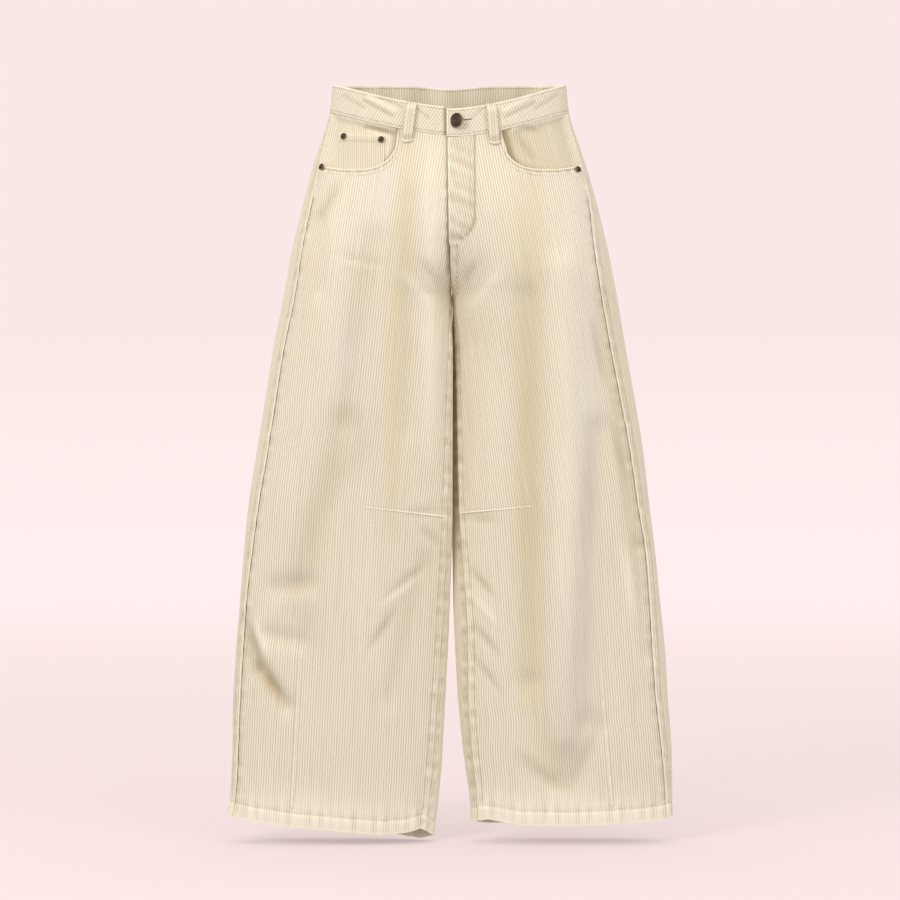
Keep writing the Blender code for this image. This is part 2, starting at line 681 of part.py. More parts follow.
def add_coin_pocket(collection):
    def corner(u, v):
        x = COIN_INNER_X + (COIN_OUTER_X - COIN_INNER_X) * u
        top = COIN_TOP_Z[1] + (COIN_TOP_Z[0] - COIN_TOP_Z[1]) * u
        return x, top + (COIN_BOTTOM_Z - top) * v

    grid = flat_grid("right", 5, 6, corner)
    mesh = cloth_wall("coin_pocket", "right", grid, -WALL - LAYER_GAP, FACING_WALL)
    new_object("coin_pocket", mesh, collection, "pocket_corduroy", POCKET_CLOTH)


def band_columns():
    """Places round the waistband, from its hidden right end to its left end on top, as (leg, turn,
    how far it sinks inwards)."""
    half_level = round(-BAND_HEIGHT / 2, 5)
    places = [
        ("right", turn_step("right", half_level, 0.0, -FLAP_UNDER * share), lap_sink(0.0))
        for share in (1.0, 0.5)
    ]
    steps = 30
    for step in range(steps + 1):
        turn = step / steps
        point = at_turn("right", half_level, turn)
        sink = lap_sink(-point[0]) if turn < 0.5 else 0.0
        places.append(("right", turn, sink))
    for step in range(1, steps + 1):
        places.append(("left", 1.0 - step / steps, 0.0))
    places[-1] = ("left", 0.0, -FLAP_LIFT)
    places.append(("left", turn_step("left", half_level, 0.0, -FLAP_OVER), -FLAP_LIFT))
    return places


def add_waistband(collection):
    places = band_columns()
    levels = [round(-BAND_HEIGHT * s, 5) for s in (0.0, 0.5, 1.0)]
    levels[-1] = round(-BAND_HEIGHT + BAND_SEAM_GAP / 2, 5)
    grids = []
    for out in (BAND_PROUD, BAND_PROUD - BAND_WALL):
        grids.append([
            [at_turn(leg, level, turn, out - sink) for leg, turn, sink in places]
            for level in levels
        ])
    mesh = wall_mesh("waistband", *grids)
    new_object("waistband", mesh, collection, "band_corduroy", CORDUROY_BAND)


Loop = namedtuple("Loop", "name leg face top_x low_x")
# Where each belt loop's top and lower end lie in X, in mm
LOOPS = (
    Loop("belt_loop_front_right", "right", "front", 51.6, 58.9),
    Loop("belt_loop_front_left", "left", "front", 56.1, 60.6),
    Loop("belt_loop_back_right", "right", "back", 112, 116),
    Loop("belt_loop_back_left", "left", "back", 112, 116),
    Loop("belt_loop_centre_back", "left", "back", 0, 0),
)


def place_by_x(leg, level, x, face):
    """The turn at a distance from the middle, on the front or the back."""
    shape = outline(leg, level)
    turns = np.linspace(0.0, 1.0, len(shape.points))
    reach = np.abs(shape.points[:, 0])
    if face == "front":
        return float(np.interp(x, reach[: TURN_STEPS + 1], turns[: TURN_STEPS + 1]))
    return float(np.interp(x, reach[:TURN_STEPS:-1], turns[:TURN_STEPS:-1]))


def add_belt_loops(collection):
    """Straps over the band: sewn flat at both ends, with room for a belt between, and folded under
    at the lower end."""
    steps = 12
    lower = -BAND_HEIGHT - LOOP_DROP
    for loop in LOOPS:
        rows_out, rows_in = [], []
        for step in range(steps + 1):
            share = step / steps
            level = round(share * lower, 5)
            x = (loop.top_x + (loop.low_x - loop.top_x) * share) * MM
            turn = place_by_x(loop.leg, level, x, loop.face)
            normal = normal_at(loop.leg, level, turn)
            middle = at_turn(loop.leg, level, turn)
            sideways = np.cross(normal, (0.0, 0.0, 1.0))
            sideways /= np.linalg.norm(sideways)
            lift = LOOP_SLACK * float(smooth_step(math.sin(math.pi * share), 0.12, 0.62))
            gap = BAND_PROUD + SEAM_GAP + lift
            ends = (-LOOP_WIDTH / 2, 0.0, LOOP_WIDTH / 2)
            rows_in.append([middle + normal * gap + sideways * s for s in ends])
            rows_out.append([middle + normal * (gap + LOOP_WALL) + sideways * s for s in ends])
        mesh = wall_mesh(loop.name, rows_out, rows_in)
        new_object(loop.name, mesh, collection, "band_corduroy", CORDUROY_BAND)


Dart = namedtuple("Dart", "name leg x0 z0 x1 z1 width")
# Stitched darts, each a low welt from its wide end on a seam (x0, z0) to its point (x1, z1), in mm
DARTS = (
    Dart("knee_dart_right", "right", 9, -594, 116, -585, 5.0),
    Dart("knee_dart_left", "left", 20, -593, 115, -584, 5.0),
    Dart("hem_dart_right", "right", 219, -1000, 205, -770, 4.5),
    Dart("hem_dart_left", "left", 224, -998, 207, -805, 4.5),
)
DART_RAISE = 1.1 * MM
DART_STEPS = 24


def surface_of(piece):
    """A search tree of a finished piece, for seating another piece on it."""
    made = bmesh.new()
    made.from_mesh(piece.data)
    tree = BVHTree.FromBMesh(made)
    made.free()
    return tree


def seated(tree, point, normal, out):
    """The point on a piece's outer face that lies behind or before this one, moved out."""
    reach = 12 * MM
    start = Vector(point + normal * reach)
    hit = tree.ray_cast(start, Vector(-normal), 2 * reach)[0]
    return (point if hit is None else np.array(hit)) + normal * out


def add_darts(collection):
    for dart in DARTS:
        tree = surface_of(collection.objects["front_" + dart.leg])
        start = np.array([dart.x0, dart.z0]) * MM
        end = np.array([dart.x1, dart.z1]) * MM
        across = np.array([end[1] - start[1], start[0] - end[0]])
        across /= np.linalg.norm(across)
        outer, inner = [], []
        for step in range(DART_STEPS + 1):
            share = step / DART_STEPS
            middle = start + (end - start) * share
            half = dart.width * MM / 2 * (1.0 - 0.8 * share)
            spots = [front_place(dart.leg, *(middle + across * s * half)) for s in (-1, 0, 1)]
            heights = (0.4 * MM, DART_RAISE * (1.0 - 0.6 * share), 0.4 * MM)
            points = [(at_turn(dart.leg, *s), normal_at(dart.leg, *s)) for s in spots]
            inner.append([seated(tree, p, n, LAYER_GAP) for p, n in points])
            outer.append([seated(tree, p, n, LAYER_GAP + h) for (p, n), h in zip(points, heights)])
        mesh = wall_mesh(dart.name, outer, inner)
        new_object(dart.name, mesh, collection, "corduroy", CORDUROY)


def turned(name, profile, centre, axis, collection, collection_finish):
    """A round piece from its profile of (radius, height) points, set on the cloth along an axis."""
    finish_name, colour = collection_finish
    made = bmesh.new()
    points = [made.verts.new((radius, 0.0, height)) for radius, height in profile]
    edges = [made.edges.new(pair) for pair in zip(points, points[1:])]
    bmesh.ops.spin(
        made, geom=points + edges, cent=(0, 0, 0), axis=(0, 0, 1), angle=2 * math.pi,
        steps=ROUND_SIDES, use_merge=True,
    )
    bmesh.ops.remove_doubles(made, verts=made.verts, dist=0.00001)
    bmesh.ops.recalc_face_normals(made, faces=made.faces)
    mesh = bpy.data.meshes.new(name)
    made.to_mesh(mesh)
    made.free()
    piece = new_object(name, mesh, collection, finish_name, colour, sharp=50)
    piece.location = centre
    up = np.array([0.0, 0.0, 1.0])
    turn_axis = np.cross(up, axis)
    angle = math.atan2(np.linalg.norm(turn_axis), float(up @ axis))
    piece.rotation_mode = "AXIS_ANGLE"
    piece.rotation_axis_angle = (angle, *(turn_axis / np.linalg.norm(turn_axis)))
    return piece


Rivet = namedtuple("Rivet", "name leg x z on")
RIVETS = (
    Rivet("rivet_side_right", "right", 175.0, -117.5, "front_right"),
    Rivet("rivet_side_left", "left", 174.5, -121.0, "front_left"),
    Rivet("rivet_coin_outer", "right", 147.0, -74.5, "coin_pocket"),
    Rivet("rivet_coin_inner", "right", 94.5, -81.0, "coin_pocket"),
)
BUTTON_X = 11.6 * MM
BUTTON_LEVEL = -17.5 * MM
BUTTON_TILT = math.radians(28)  # its head leans toward the wearer's right
BUTTON_SHANK = 3.6 * MM


def add_hardware(collection):
    finish = ("antique_brass", ANTIQUE_BRASS)
    radius = RIVET_RADIUS
    rivet = [
        (0.0, 0.0), (radius, 0.0), (radius, 0.35 * MM), (radius * 0.86, 0.8 * MM),
        (radius * 0.62, 0.75 * MM), (radius * 0.5, 1.15 * MM), (0.0, 1.5 * MM),
    ]
    for row in RIVETS:
        level, turn = front_place(row.leg, row.x * MM, row.z * MM)
        normal = normal_at(row.leg, level, turn)
        cloth = surface_of(collection.objects[row.on])
        centre = seated(cloth, at_turn(row.leg, level, turn), normal, SEAM_GAP)
        turned(row.name, rivet, centre, normal, collection, finish)
    radius, shank_radius, head = BUTTON_RADIUS, BUTTON_RADIUS * 0.3, BUTTON_SHANK
    button = [
        (0.0, 0.0), (shank_radius, 0.0), (shank_radius, head), (radius * 0.9, head + 0.2 * MM),
        (radius, head + 0.6 * MM), (radius, head + 1.2 * MM), (radius * 0.9, head + 1.8 * MM),
        (radius * 0.76, head + 1.4 * MM), (radius * 0.62, head + 1.7 * MM),
        (radius * 0.5, head + 1.4 * MM), (0.0, head + 1.6 * MM),
    ]
    turn = place_by_x("left", BUTTON_LEVEL, BUTTON_X, "front")
    normal = normal_at("left", BUTTON_LEVEL, turn)
    aside = np.cross(normal, (0.0, 0.0, 1.0))
    aside /= np.linalg.norm(aside)
    aside *= -np.sign(aside[0])
    axis = normal * math.cos(BUTTON_TILT) + aside * math.sin(BUTTON_TILT)
    band = surface_of(collection.objects["waistband"])
    seat_gap = SEAM_GAP + shank_radius * math.sin(BUTTON_TILT)
    centre = seated(band, at_turn("left", BUTTON_LEVEL, turn), normal, seat_gap)
    turned("button", button, centre, axis, collection, finish)


def main():
    for old in list(bpy.data.objects):
        bpy.data.objects.remove(old, do_unlink=True)
    collection = bpy.data.collections.new(NAME)
    bpy.context.scene.collection.children.link(collection)
    add_panels(collection)
    add_pocket_facings(collection)
    add_coin_pocket(collection)
    add_waistband(collection)
    add_belt_loops(collection)
    add_darts(collection)
    add_hardware(collection)


if __name__ == "__main__":
    main()
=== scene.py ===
"""Wide corduroy trousers, filled out with no wearer: cloth, stitches, metal and a plain studio.

Units are metres. +X is the wearer's left, the front faces -Y and +Z is up. All cloth lies on one
surface, whose points are named by leg, level and turn: level is the height a point would have with
a flat waist and hem, and turn runs from the centre front (0) past the outer side (0.5) to the
centre back (1).
"""
from __future__ import annotations

from collections.abc import Sequence
from dataclasses import dataclass, field
from enum import Enum
import logging
import math
from typing import NamedTuple

import bmesh
import bpy
from mathutils import Matrix, Vector
import numpy as np

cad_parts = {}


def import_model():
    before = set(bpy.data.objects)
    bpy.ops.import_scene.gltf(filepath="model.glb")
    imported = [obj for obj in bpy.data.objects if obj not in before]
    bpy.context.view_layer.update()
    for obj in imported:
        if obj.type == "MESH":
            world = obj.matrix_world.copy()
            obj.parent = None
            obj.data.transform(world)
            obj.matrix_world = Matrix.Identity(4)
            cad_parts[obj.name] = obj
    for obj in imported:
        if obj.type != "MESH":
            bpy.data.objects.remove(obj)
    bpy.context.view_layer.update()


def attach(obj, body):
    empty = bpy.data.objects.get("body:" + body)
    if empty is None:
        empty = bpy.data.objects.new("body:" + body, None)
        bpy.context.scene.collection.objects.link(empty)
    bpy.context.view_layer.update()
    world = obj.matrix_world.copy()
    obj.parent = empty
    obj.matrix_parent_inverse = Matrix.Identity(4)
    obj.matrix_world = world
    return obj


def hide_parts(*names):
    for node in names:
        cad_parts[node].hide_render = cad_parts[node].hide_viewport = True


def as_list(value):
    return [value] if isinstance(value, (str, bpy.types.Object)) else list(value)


LOG = logging.getLogger("corduroy_trousers")
MM = 0.001
Array = np.ndarray
Colour = tuple[float, float, float]

SEAM_GAP = 0.3 * MM
BAND_SEAM_GAP = 0.7 * MM
LAYER_GAP = 0.6 * MM
WALL = 1.8 * MM
HEM_WALL = 3.4 * MM
BAND_HEIGHT = 39 * MM
BAND_PROUD = 0.5 * MM
BAND_WALL = 3.0 * MM
BEND_RADIUS = 45 * MM
CROTCH_LEVEL = -292 * MM
HEM_LEVEL = -1022 * MM
HEM_TOP_LEVEL = -1002 * MM
FLY_BOTTOM_Z = -222 * MM
FLY_WIDTH = 34 * MM
WALE_PITCH = 3.55 * MM
STEPS_A_WALE = 4
WALE_STEP = WALE_PITCH / STEPS_A_WALE
HALF_STEPS = 120
PANEL_TOP = -BAND_HEIGHT - BAND_SEAM_GAP / 2


class Leg(Enum):
    """A side of the wearer."""

    RIGHT = "right"
    LEFT = "left"

    @property
    def sign(self) -> float:
        """-1 on the wearer's right, at -X, and 1 on the left."""
        return -1.0 if self is Leg.RIGHT else 1.0


class Face(Enum):
    """The front or the back of a leg."""

    FRONT = "front"
    BACK = "back"


class Section(NamedTuple):
    """Level, side reaches, depths and side seam offsets, in mm."""

    level: float
    out_right: float
    out_left: float
    front: float
    back: float
    wrap_right: float
    wrap_left: float


class Inner(NamedTuple):
    """Level, X of each leg's inner edge and how far in each inner seam lies, in mm."""

    level: float
    in_right: float
    in_left: float
    tuck_right: float
    tuck_left: float


class Hem(NamedTuple):
    """Hem height in front and behind at a share of the way in from the outer edge, in mm."""

    across: float
    front: float
    back: float


class Fold(NamedTuple):
    """A soft ridge or trough along a line on one face of a leg, in mm."""

    leg: Leg
    face: Face
    x0: float
    z0: float
    x1: float
    z1: float
    width: float
    height: float


class Shade(NamedTuple):
    """A band of painted light and shade, its warmth partly the pile's lie: a line in mm, its width, warmth
    and lightness.
    """

    leg: Leg
    face: Face
    x0: float
    z0: float
    x1: float
    z1: float
    width: float
    warmth: float
    lightness: float


class Line(NamedTuple):
    """A soft line beside an edge: how far in it lies, its width and its height, in mm, and its lightness, a
    painted highlight above 0 and painted shade below.
    """

    place: float
    width: float
    height: float
    light: float


class RivetPlace(NamedTuple):
    """A rivet's node, side, distance from the middle, height, and how far out it stands, in mm."""

    node: str
    leg: Leg
    x: float
    z: float
    out: float


class Lamp(NamedTuple):
    """A square light: its name, place and size in metres, power in watts and colour."""

    name: str
    place: tuple[float, float, float]
    size: float
    power: float
    colour: Colour


R, L, FRONT, BACK = Leg.RIGHT, Leg.LEFT, Face.FRONT, Face.BACK


def grouped(
    kind: type[Fold] | type[Shade], groups: dict[tuple[Leg, Face], Sequence[Sequence[float]]],
) -> tuple[Fold | Shade, ...]:
    """Makes a table's rows from numbers grouped by leg and face."""
    return tuple(kind(leg, face, *row) for (leg, face), rows in groups.items() for row in rows)


SECTIONS = (
    Section(0, 162.6, 161.2, 56, 54, 3, 3),
    Section(-39, 167.5, 165.4, 60, 58, 5, 5),
    Section(-90, 183.5, 182.1, 72, 74, 10, 8),
    Section(-111, 190.4, 189.0, 76, 80, 12, 9),
    Section(-160, 203.0, 203.0, 82, 92, 13, 12),
    Section(-229, 219.6, 219.6, 84, 95, 16, 21),
    Section(-292, 231.0, 232.0, 81, 90, 18, 24),
    Section(-368, 246.0, 244.6, 77, 83, 17, 23),
    Section(-438, 257.2, 257.2, 73, 75, 17, 22),
    Section(-507, 268.3, 268.3, 69, 68, 17, 20),
    Section(-577, 279.4, 276.6, 65, 61, 16, 18),
    Section(-646, 286.3, 285.0, 59, 56, 13, 15),
    Section(-716, 291.9, 291.9, 54, 52, 10, 16),
    Section(-785, 297.5, 298.9, 50, 48, 11, 19),
    Section(-855, 301.6, 303.0, 46, 44, 11, 18),
    Section(-924, 302.5, 308.0, 42, 40, 9, 15),
    Section(-980, 304.4, 309.0, 39, 37, 8, 11),
    Section(-1022, 308.0, 310.0, 37, 35, 6, 9),
)

INNERS = (
    Inner(-292, 3.0, 3.0, 0, 0),
    Inner(-400, 1.5, 4.5, 3, 4),
    Inner(-507, 1.5, 4.5, 5, 6),
    Inner(-595, 1.5, 4.5, 7, 8),
    Inner(-660, 1.2, 4.5, 8, 13),
    Inner(-716, 0.0, 4.4, 9, 18),
    Inner(-785, -2.8, 7.0, 10, 18),
    Inner(-855, -7.0, 11.1, 11, 14),
    Inner(-924, -11.1, 18.1, 12, 12),
    Inner(-980, -16.7, 26.4, 12, 10),
    Inner(-1022, -22.2, 29.2, 11, 10),
)

HEMS = {
    R: (
        Hem(0.00, -1014, -1014), Hem(0.10, -1019, -1018), Hem(0.30, -1027, -1025),
        Hem(0.55, -1033.5, -1033), Hem(0.75, -1038.5, -1041), Hem(0.87, -1036, -1047),
        Hem(0.94, -1031, -1049), Hem(1.00, -1043, -1043),
    ),
    L: (
        Hem(0.00, -1016, -1016), Hem(0.08, -1019.4, -1021), Hem(0.30, -1023.6, -1026),
        Hem(0.50, -1025.6, -1028), Hem(0.75, -1025, -1028.5), Hem(0.92, -1018, -1028),
        Hem(1.00, -1024, -1024),
    ),
}

MAIN_FOLDS = grouped(Fold, {
    (L, FRONT): (
        (103, -300, 112, -820, 22, -8), (150, -260, 157, -900, 20, 6), (203, -480, 194, -880, 17, -6),
        (112, -830, 144, -960, 16, -4), (194, -880, 158, -965, 16, -4), (210, -300, 262, -640, 12, -4),
        (262, -640, 276, -790, 10, -4),
    ),
    (R, FRONT): (
        (-107, -220, -144, -470, 18, -4), (-144, -470, -205, -690, 20, -7),
        (-240, -696, -195, -692, 13, -5), (-250, -762, -208, -770, 12, -5), (-288, -745, -264, -810, 9, -5),
        (-264, -810, -226, -860, 10, -6), (-34, -660, -82, -850, 14, -3), (-53, -165, -57, -480, 13, -3),
        (-178, -190, -180, -290, 10, -4),
    ),
    (L, BACK): (
        (60, -330, 120, -470, 22, -5), (190, -430, 180, -880, 24, -7), (110, -520, 118, -900, 20, -5),
        (30, -300, 120, -345, 16, -4),
    ),
    (R, BACK): (
        (-60, -330, -130, -500, 22, -5), (-175, -420, -190, -860, 24, -7), (-90, -560, -100, -880, 20, -4),
        (-30, -300, -125, -340, 16, -4),
    ),
})

FINE_FOLDS = grouped(Fold, {
    (R, FRONT): (
        (-25, -90, -25, -520, 12, 1.8), (-93, -712, -29, -662, 5, -1.9), (-97, -722, -40, -680, 5, 1.2),
        (-112, -781, -72, -724, 6, -2.0), (-282, -742, -262, -800, 5, -2.4),
        (-270, -742, -250, -800, 6, 1.8), (-262, -802, -228, -852, 5, -2.2),
        (-60, -596, -14, -590, 6, -1.6), (-168, -238, -86, -254, 4, -0.9), (-160, -246, -100, -260, 4, 0.7),
        (-44, -612, -8, -640, 5, -1.6), (-150, -140, -186, -196, 8, -2.0), (-40, -250, -12, -282, 7, -2.0),
        (-70, -262, -16, -318, 7, 1.6),
    ),
    (L, FRONT): (
        (40, -248, 14, -282, 7, -2.0), (72, -262, 20, -322, 7, 1.4), (22, -598, 62, -604, 6, -1.8),
        (24, -668, 60, -708, 5, -2.2), (26, -702, 66, -748, 5, 1.5), (27, -742, 68, -790, 5, -2.0),
        (30, -790, 72, -842, 5, -1.6), (196, -330, 214, -420, 6, -1.8), (224, -470, 246, -560, 6, -1.8),
        (240, -640, 254, -740, 7, 1.8),
    ),
    (L, BACK): (
        (22, -250, 60, -300, 7, -2.2), (34, -330, 86, -372, 7, 1.8), (26, -560, 80, -604, 7, -2.0),
        (28, -640, 76, -688, 6, -1.8), (230, -520, 256, -640, 9, -2.4), (250, -700, 220, -780, 8, -2.0),
    ),
    (R, BACK): (
        (-22, -250, -64, -300, 7, -2.2), (-36, -330, -88, -372, 7, 1.8), (-24, -560, -78, -610, 7, -2.0),
        (-24, -650, -72, -700, 6, -1.8), (-226, -500, -254, -640, 9, -2.4),
        (-252, -712, -224, -792, 8, -2.0),
    ),
})

FACING_FOLDS = (Fold(R, FRONT, -112, -54, -76, -66, 3.2, 2.6),)

FACING_SHADES = (
    Shade(R, FRONT, -116, -62, -78, -72, 3.5, 0.10, -1.9),
    Shade(R, FRONT, -112, -67, -84, -77, 3.0, 0.00, 1.0),
    Shade(L, FRONT, 74, -64, 88, -112, 5.0, 0.10, -1.3),
    Shade(L, FRONT, 84, -60, 118, -66, 4.0, 0.00, -1.0),
    Shade(L, FRONT, 92, -76, 112, -104, 6.0, 0.10, -0.7),
)

SHADES = grouped(Shade, {
    (L, FRONT): (
        (108, -130, 112, -840, 20, 0.85, -0.45), (172, -700, 160, -950, 22, -0.30, -0.75),
        (96, -925, 154, -972, 9, 0.00, -1.10), (206, -880, 164, -970, 9, 0.00, -0.90),
        (194, -480, 178, -700, 13, -0.55, -0.50), (164, -140, 160, -860, 13, -0.10, 0.45),
        (190, -130, 192, -900, 15, -0.85, -0.05), (212, -300, 262, -700, 12, 0.60, -0.35),
        (112, -840, 144, -965, 16, 0.45, -0.20), (150, -985, 230, -1000, 26, -0.05, 0.45),
        (60, -985, 130, -1000, 26, 0.00, 0.40), (45, -300, 60, -560, 20, 0.10, 0.22),
        (178, -60, 196, -130, 14, -0.40, 0.10),
    ),
    (R, FRONT): (
        (-58, -90, -82, -620, 16, 0.80, -0.20), (-215, -690, -190, -760, 24, -0.20, -0.65),
        (-276, -780, -236, -850, 14, 0.35, -1.10), (-110, -470, -150, -560, 20, -0.10, -0.50),
        (-25, -80, -28, -520, 13, -0.05, 0.08), (-110, -220, -146, -480, 17, 0.15, -0.30),
        (-128, -330, -150, -430, 16, -0.55, 0.00), (-146, -480, -206, -700, 18, 0.25, -0.35),
        (-8, -330, -12, -450, 14, -0.50, 0.00), (-92, -130, -96, -200, 18, -0.60, 0.05),
        (-178, -150, -200, -330, 12, 0.45, -0.15), (-150, -130, -168, -420, 14, -0.05, 0.25),
        (-34, -660, -82, -850, 14, 0.10, -0.22), (-284, -750, -228, -862, 9, 0.30, -0.30),
        (-250, -985, -130, -1004, 28, -0.05, 0.45), (-120, -560, -120, -800, 22, 0.00, 0.20),
    ),
    (L, BACK): (
        (108, -150, 114, -860, 22, 0.45, -0.20), (60, -120, 70, -700, 16, -0.45, 0.20),
        (200, -200, 214, -860, 20, -0.50, 0.20), (150, -985, 230, -1000, 26, 0.00, 0.40),
    ),
    (R, BACK): (
        (-108, -150, -122, -860, 22, 0.45, -0.20), (-56, -120, -66, -700, 16, -0.45, 0.20),
        (-200, -200, -214, -860, 20, -0.50, 0.20), (-230, -990, -120, -1006, 28, 0.00, 0.40),
    ),
})

# In these lines a light above 0 is a painted highlight on rolled edges, lips and the fly's bar, and below 0
# painted shade in stitch dents, beside laps and in the buttonhole's slit.
LAPPED_SEAM = (
    Line(1.4, 1.4, 0.0, 1.1), Line(3.4, 0.8, 0.0, -0.6), Line(6.8, 0.8, 0.0, -0.5), Line(9.8, 1.2, 0.0, -0.8),
)
SEAM_UNDERSIDE = (Line(0.0, 1.4, -0.4, 0.0), Line(0.2, 1.5, 0.0, -0.5), Line(4.0, 3.0, 0.0, -0.45))
CENTRE_BACK_SEAM = (Line(0.9, 1.0, 0.0, 1.0), Line(9.8, 1.2, 0.0, -0.7))
CROTCH_SEAM = (Line(-0.6, 1.4, 0.0, 0.9), Line(10.0, 1.4, 0.0, -0.9))
HEM_EDGE = (Line(20.0, 1.6, -0.8, -0.75), Line(1.5, 2.0, 0.0, 0.5))
POCKET_MOUTH = (
    Line(1.3, 1.3, 1.4, 0.0), Line(1.2, 1.3, 0.0, 0.9), Line(3.6, 0.8, -0.8, -1.0),
    Line(5.7, 1.3, 0.0, 0.45), Line(7.6, 0.9, -0.5, 0.0), Line(7.9, 0.9, 0.0, -0.8),
)
FLY_BAR = (Line(-226.0, 1.3, 0.9, 0.0), Line(-225.5, 1.8, 0.0, 2.2), Line(-229.0, 1.1, 0.0, -0.8))
FLY_DOTS = ((21.5, -199.5), (27.0, -199.5))
COIN_SIDE = (Line(0.0, 1.1, -0.9, 0.0), Line(0.8, 1.0, 0.0, 0.8))
COIN_TOP = (
    Line(0.0, 1.1, -0.8, 0.0), Line(0.8, 1.2, 0.0, 0.6), Line(9.0, 1.3, -0.45, 0.0),
    Line(9.6, 1.2, 0.0, -0.45),
)
BAND_EDGE = (Line(0.0, 1.0, -0.8, 0.0), Line(3.0, 0.9, -0.55, 0.0))
BAND_END = (Line(0.8, 1.3, 0.0, 1.2), Line(3.2, 0.9, 0.0, -0.6))
BUTTONHOLE = (Line(0.0, 0.8, 0.0, -4.5), Line(2.0, 0.8, 0.0, 0.8), Line(-2.0, 0.8, 0.0, 0.8))

RIVETS = (
    RivetPlace("rivet_side_right", R, 175.0, -117.5, 3.7),
    RivetPlace("rivet_side_left", L, 174.5, -121.0, 3.7),
    RivetPlace("rivet_coin_outer", R, 147.0, -74.5, -0.3),
    RivetPlace("rivet_coin_inner", R, 94.5, -81.0, -0.3),
)

LAMPS = (
    Lamp("key", (-2.0, -2.9, 1.3), 1.3, 51.0, (1.0, 0.985, 0.975)),
    Lamp("fill", (2.4, -3.0, 0.1), 2.2, 29.0, (1.0, 0.985, 0.99)),
    Lamp("top", (0.0, 0.4, 2.2), 2.0, 11.0, (1.0, 0.985, 0.99)),
)


def smooth_step(value: Array | float, low: float, high: float) -> Array:
    """A smooth ramp from 0 at low to 1 at high."""
    share = np.clip((np.asarray(value, float) - low) / (high - low), 0.0, 1.0)
    return share * share * (3.0 - 2.0 * share)


def hump(value: Array | float, centre: float, width: float) -> Array:
    """A soft rise from 0 to 1 where a value is near a centre."""
    return np.exp(-(((value - centre) / width) ** 2))


def lines_at(lines: Sequence[Line], distance: Array | float) -> tuple[Array, Array]:
    """The height and the lightness that lines give at distances from their edge."""
    soft = [hump(distance / MM, line.place, line.width) for line in lines]
    height = sum(line.height * MM * share for line, share in zip(lines, soft))
    return height, sum(line.light * share for line, share in zip(lines, soft))


def smooth_curve(x: float, xs: Sequence[float], ys: Sequence[float]) -> float:
    """A cubic through a table's points, with each slope taken from the neighbours.

    Args:
        x: Where to read the curve.
        xs: The table's places, in falling order.
        ys: Its values.

    Returns:
        The value at x.
    """
    xa, ya = np.asarray(xs, float)[::-1], np.asarray(ys, float)[::-1]
    slopes = np.gradient(ya, xa)
    x = float(np.clip(x, xa[0], xa[-1]))
    i = int(np.clip(np.searchsorted(xa, x) - 1, 0, len(xa) - 2))
    step = xa[i + 1] - xa[i]
    t = (x - xa[i]) / step
    value = ya[i] * (2 * t**3 - 3 * t**2 + 1) + ya[i + 1] * (3 * t**2 - 2 * t**3)
    return float(value + step * (slopes[i] * (t**3 - 2 * t**2 + t) + slopes[i + 1] * (t**3 - t**2)))


def along_lines(
    rows: Sequence[Fold] | Sequence[Shade], leg: Leg, x: Array, z: Array, facing: Array, pick: str,
    fade: float = 0.0,
) -> Array:
    """The sum of soft bands along lines, each weighted by how far it faces their way.

    Args:
        rows: The bands.
        leg: Which leg the points are on.
        x: The points' X.
        z: Their Z.
        facing: -1 in front, 0 at the side and 1 behind.
        pick: The column that holds a band's strength.
        fade: How much of it is lost towards a band's ends.

    Returns:
        The strength at each point.
    """
    total = np.zeros_like(x)
    for row in rows:
        if row.leg is not leg:
            continue
        weight = np.clip(-facing if row.face is FRONT else facing, 0.0, 1.0)
        ax, az = (row.x1 - row.x0) * MM, (row.z1 - row.z0) * MM
        dx, dz = x - row.x0 * MM, z - row.z0 * MM
        share = np.clip((dx * ax + dz * az) / (ax * ax + az * az), 0.0, 1.0)
        away = np.hypot(dx - share * ax, dz - share * az)
        weight = weight * (1.0 - fade * (1.0 - np.sin(math.pi * share)))
        total += getattr(row, pick) * hump(away, 0.0, row.width * MM) * weight
    return total


@dataclass
class Spots:
    """Points of the cloth surface with the outward direction at each."""

    points: Array
    normals: Array

    def way(self) -> tuple[Array, Array, Array]:
        """Their X and Z, and -1 where they face forward, 0 to the side and 1 behind."""
        return self.points[..., 0], self.points[..., 2], self.normals[..., 1]


@dataclass
class LegTable:
    """One side's surface, sampled by level and turn."""

    points: Array
    normals: Array
    arc: Array
    out_turn: Array
    in_turn: Array


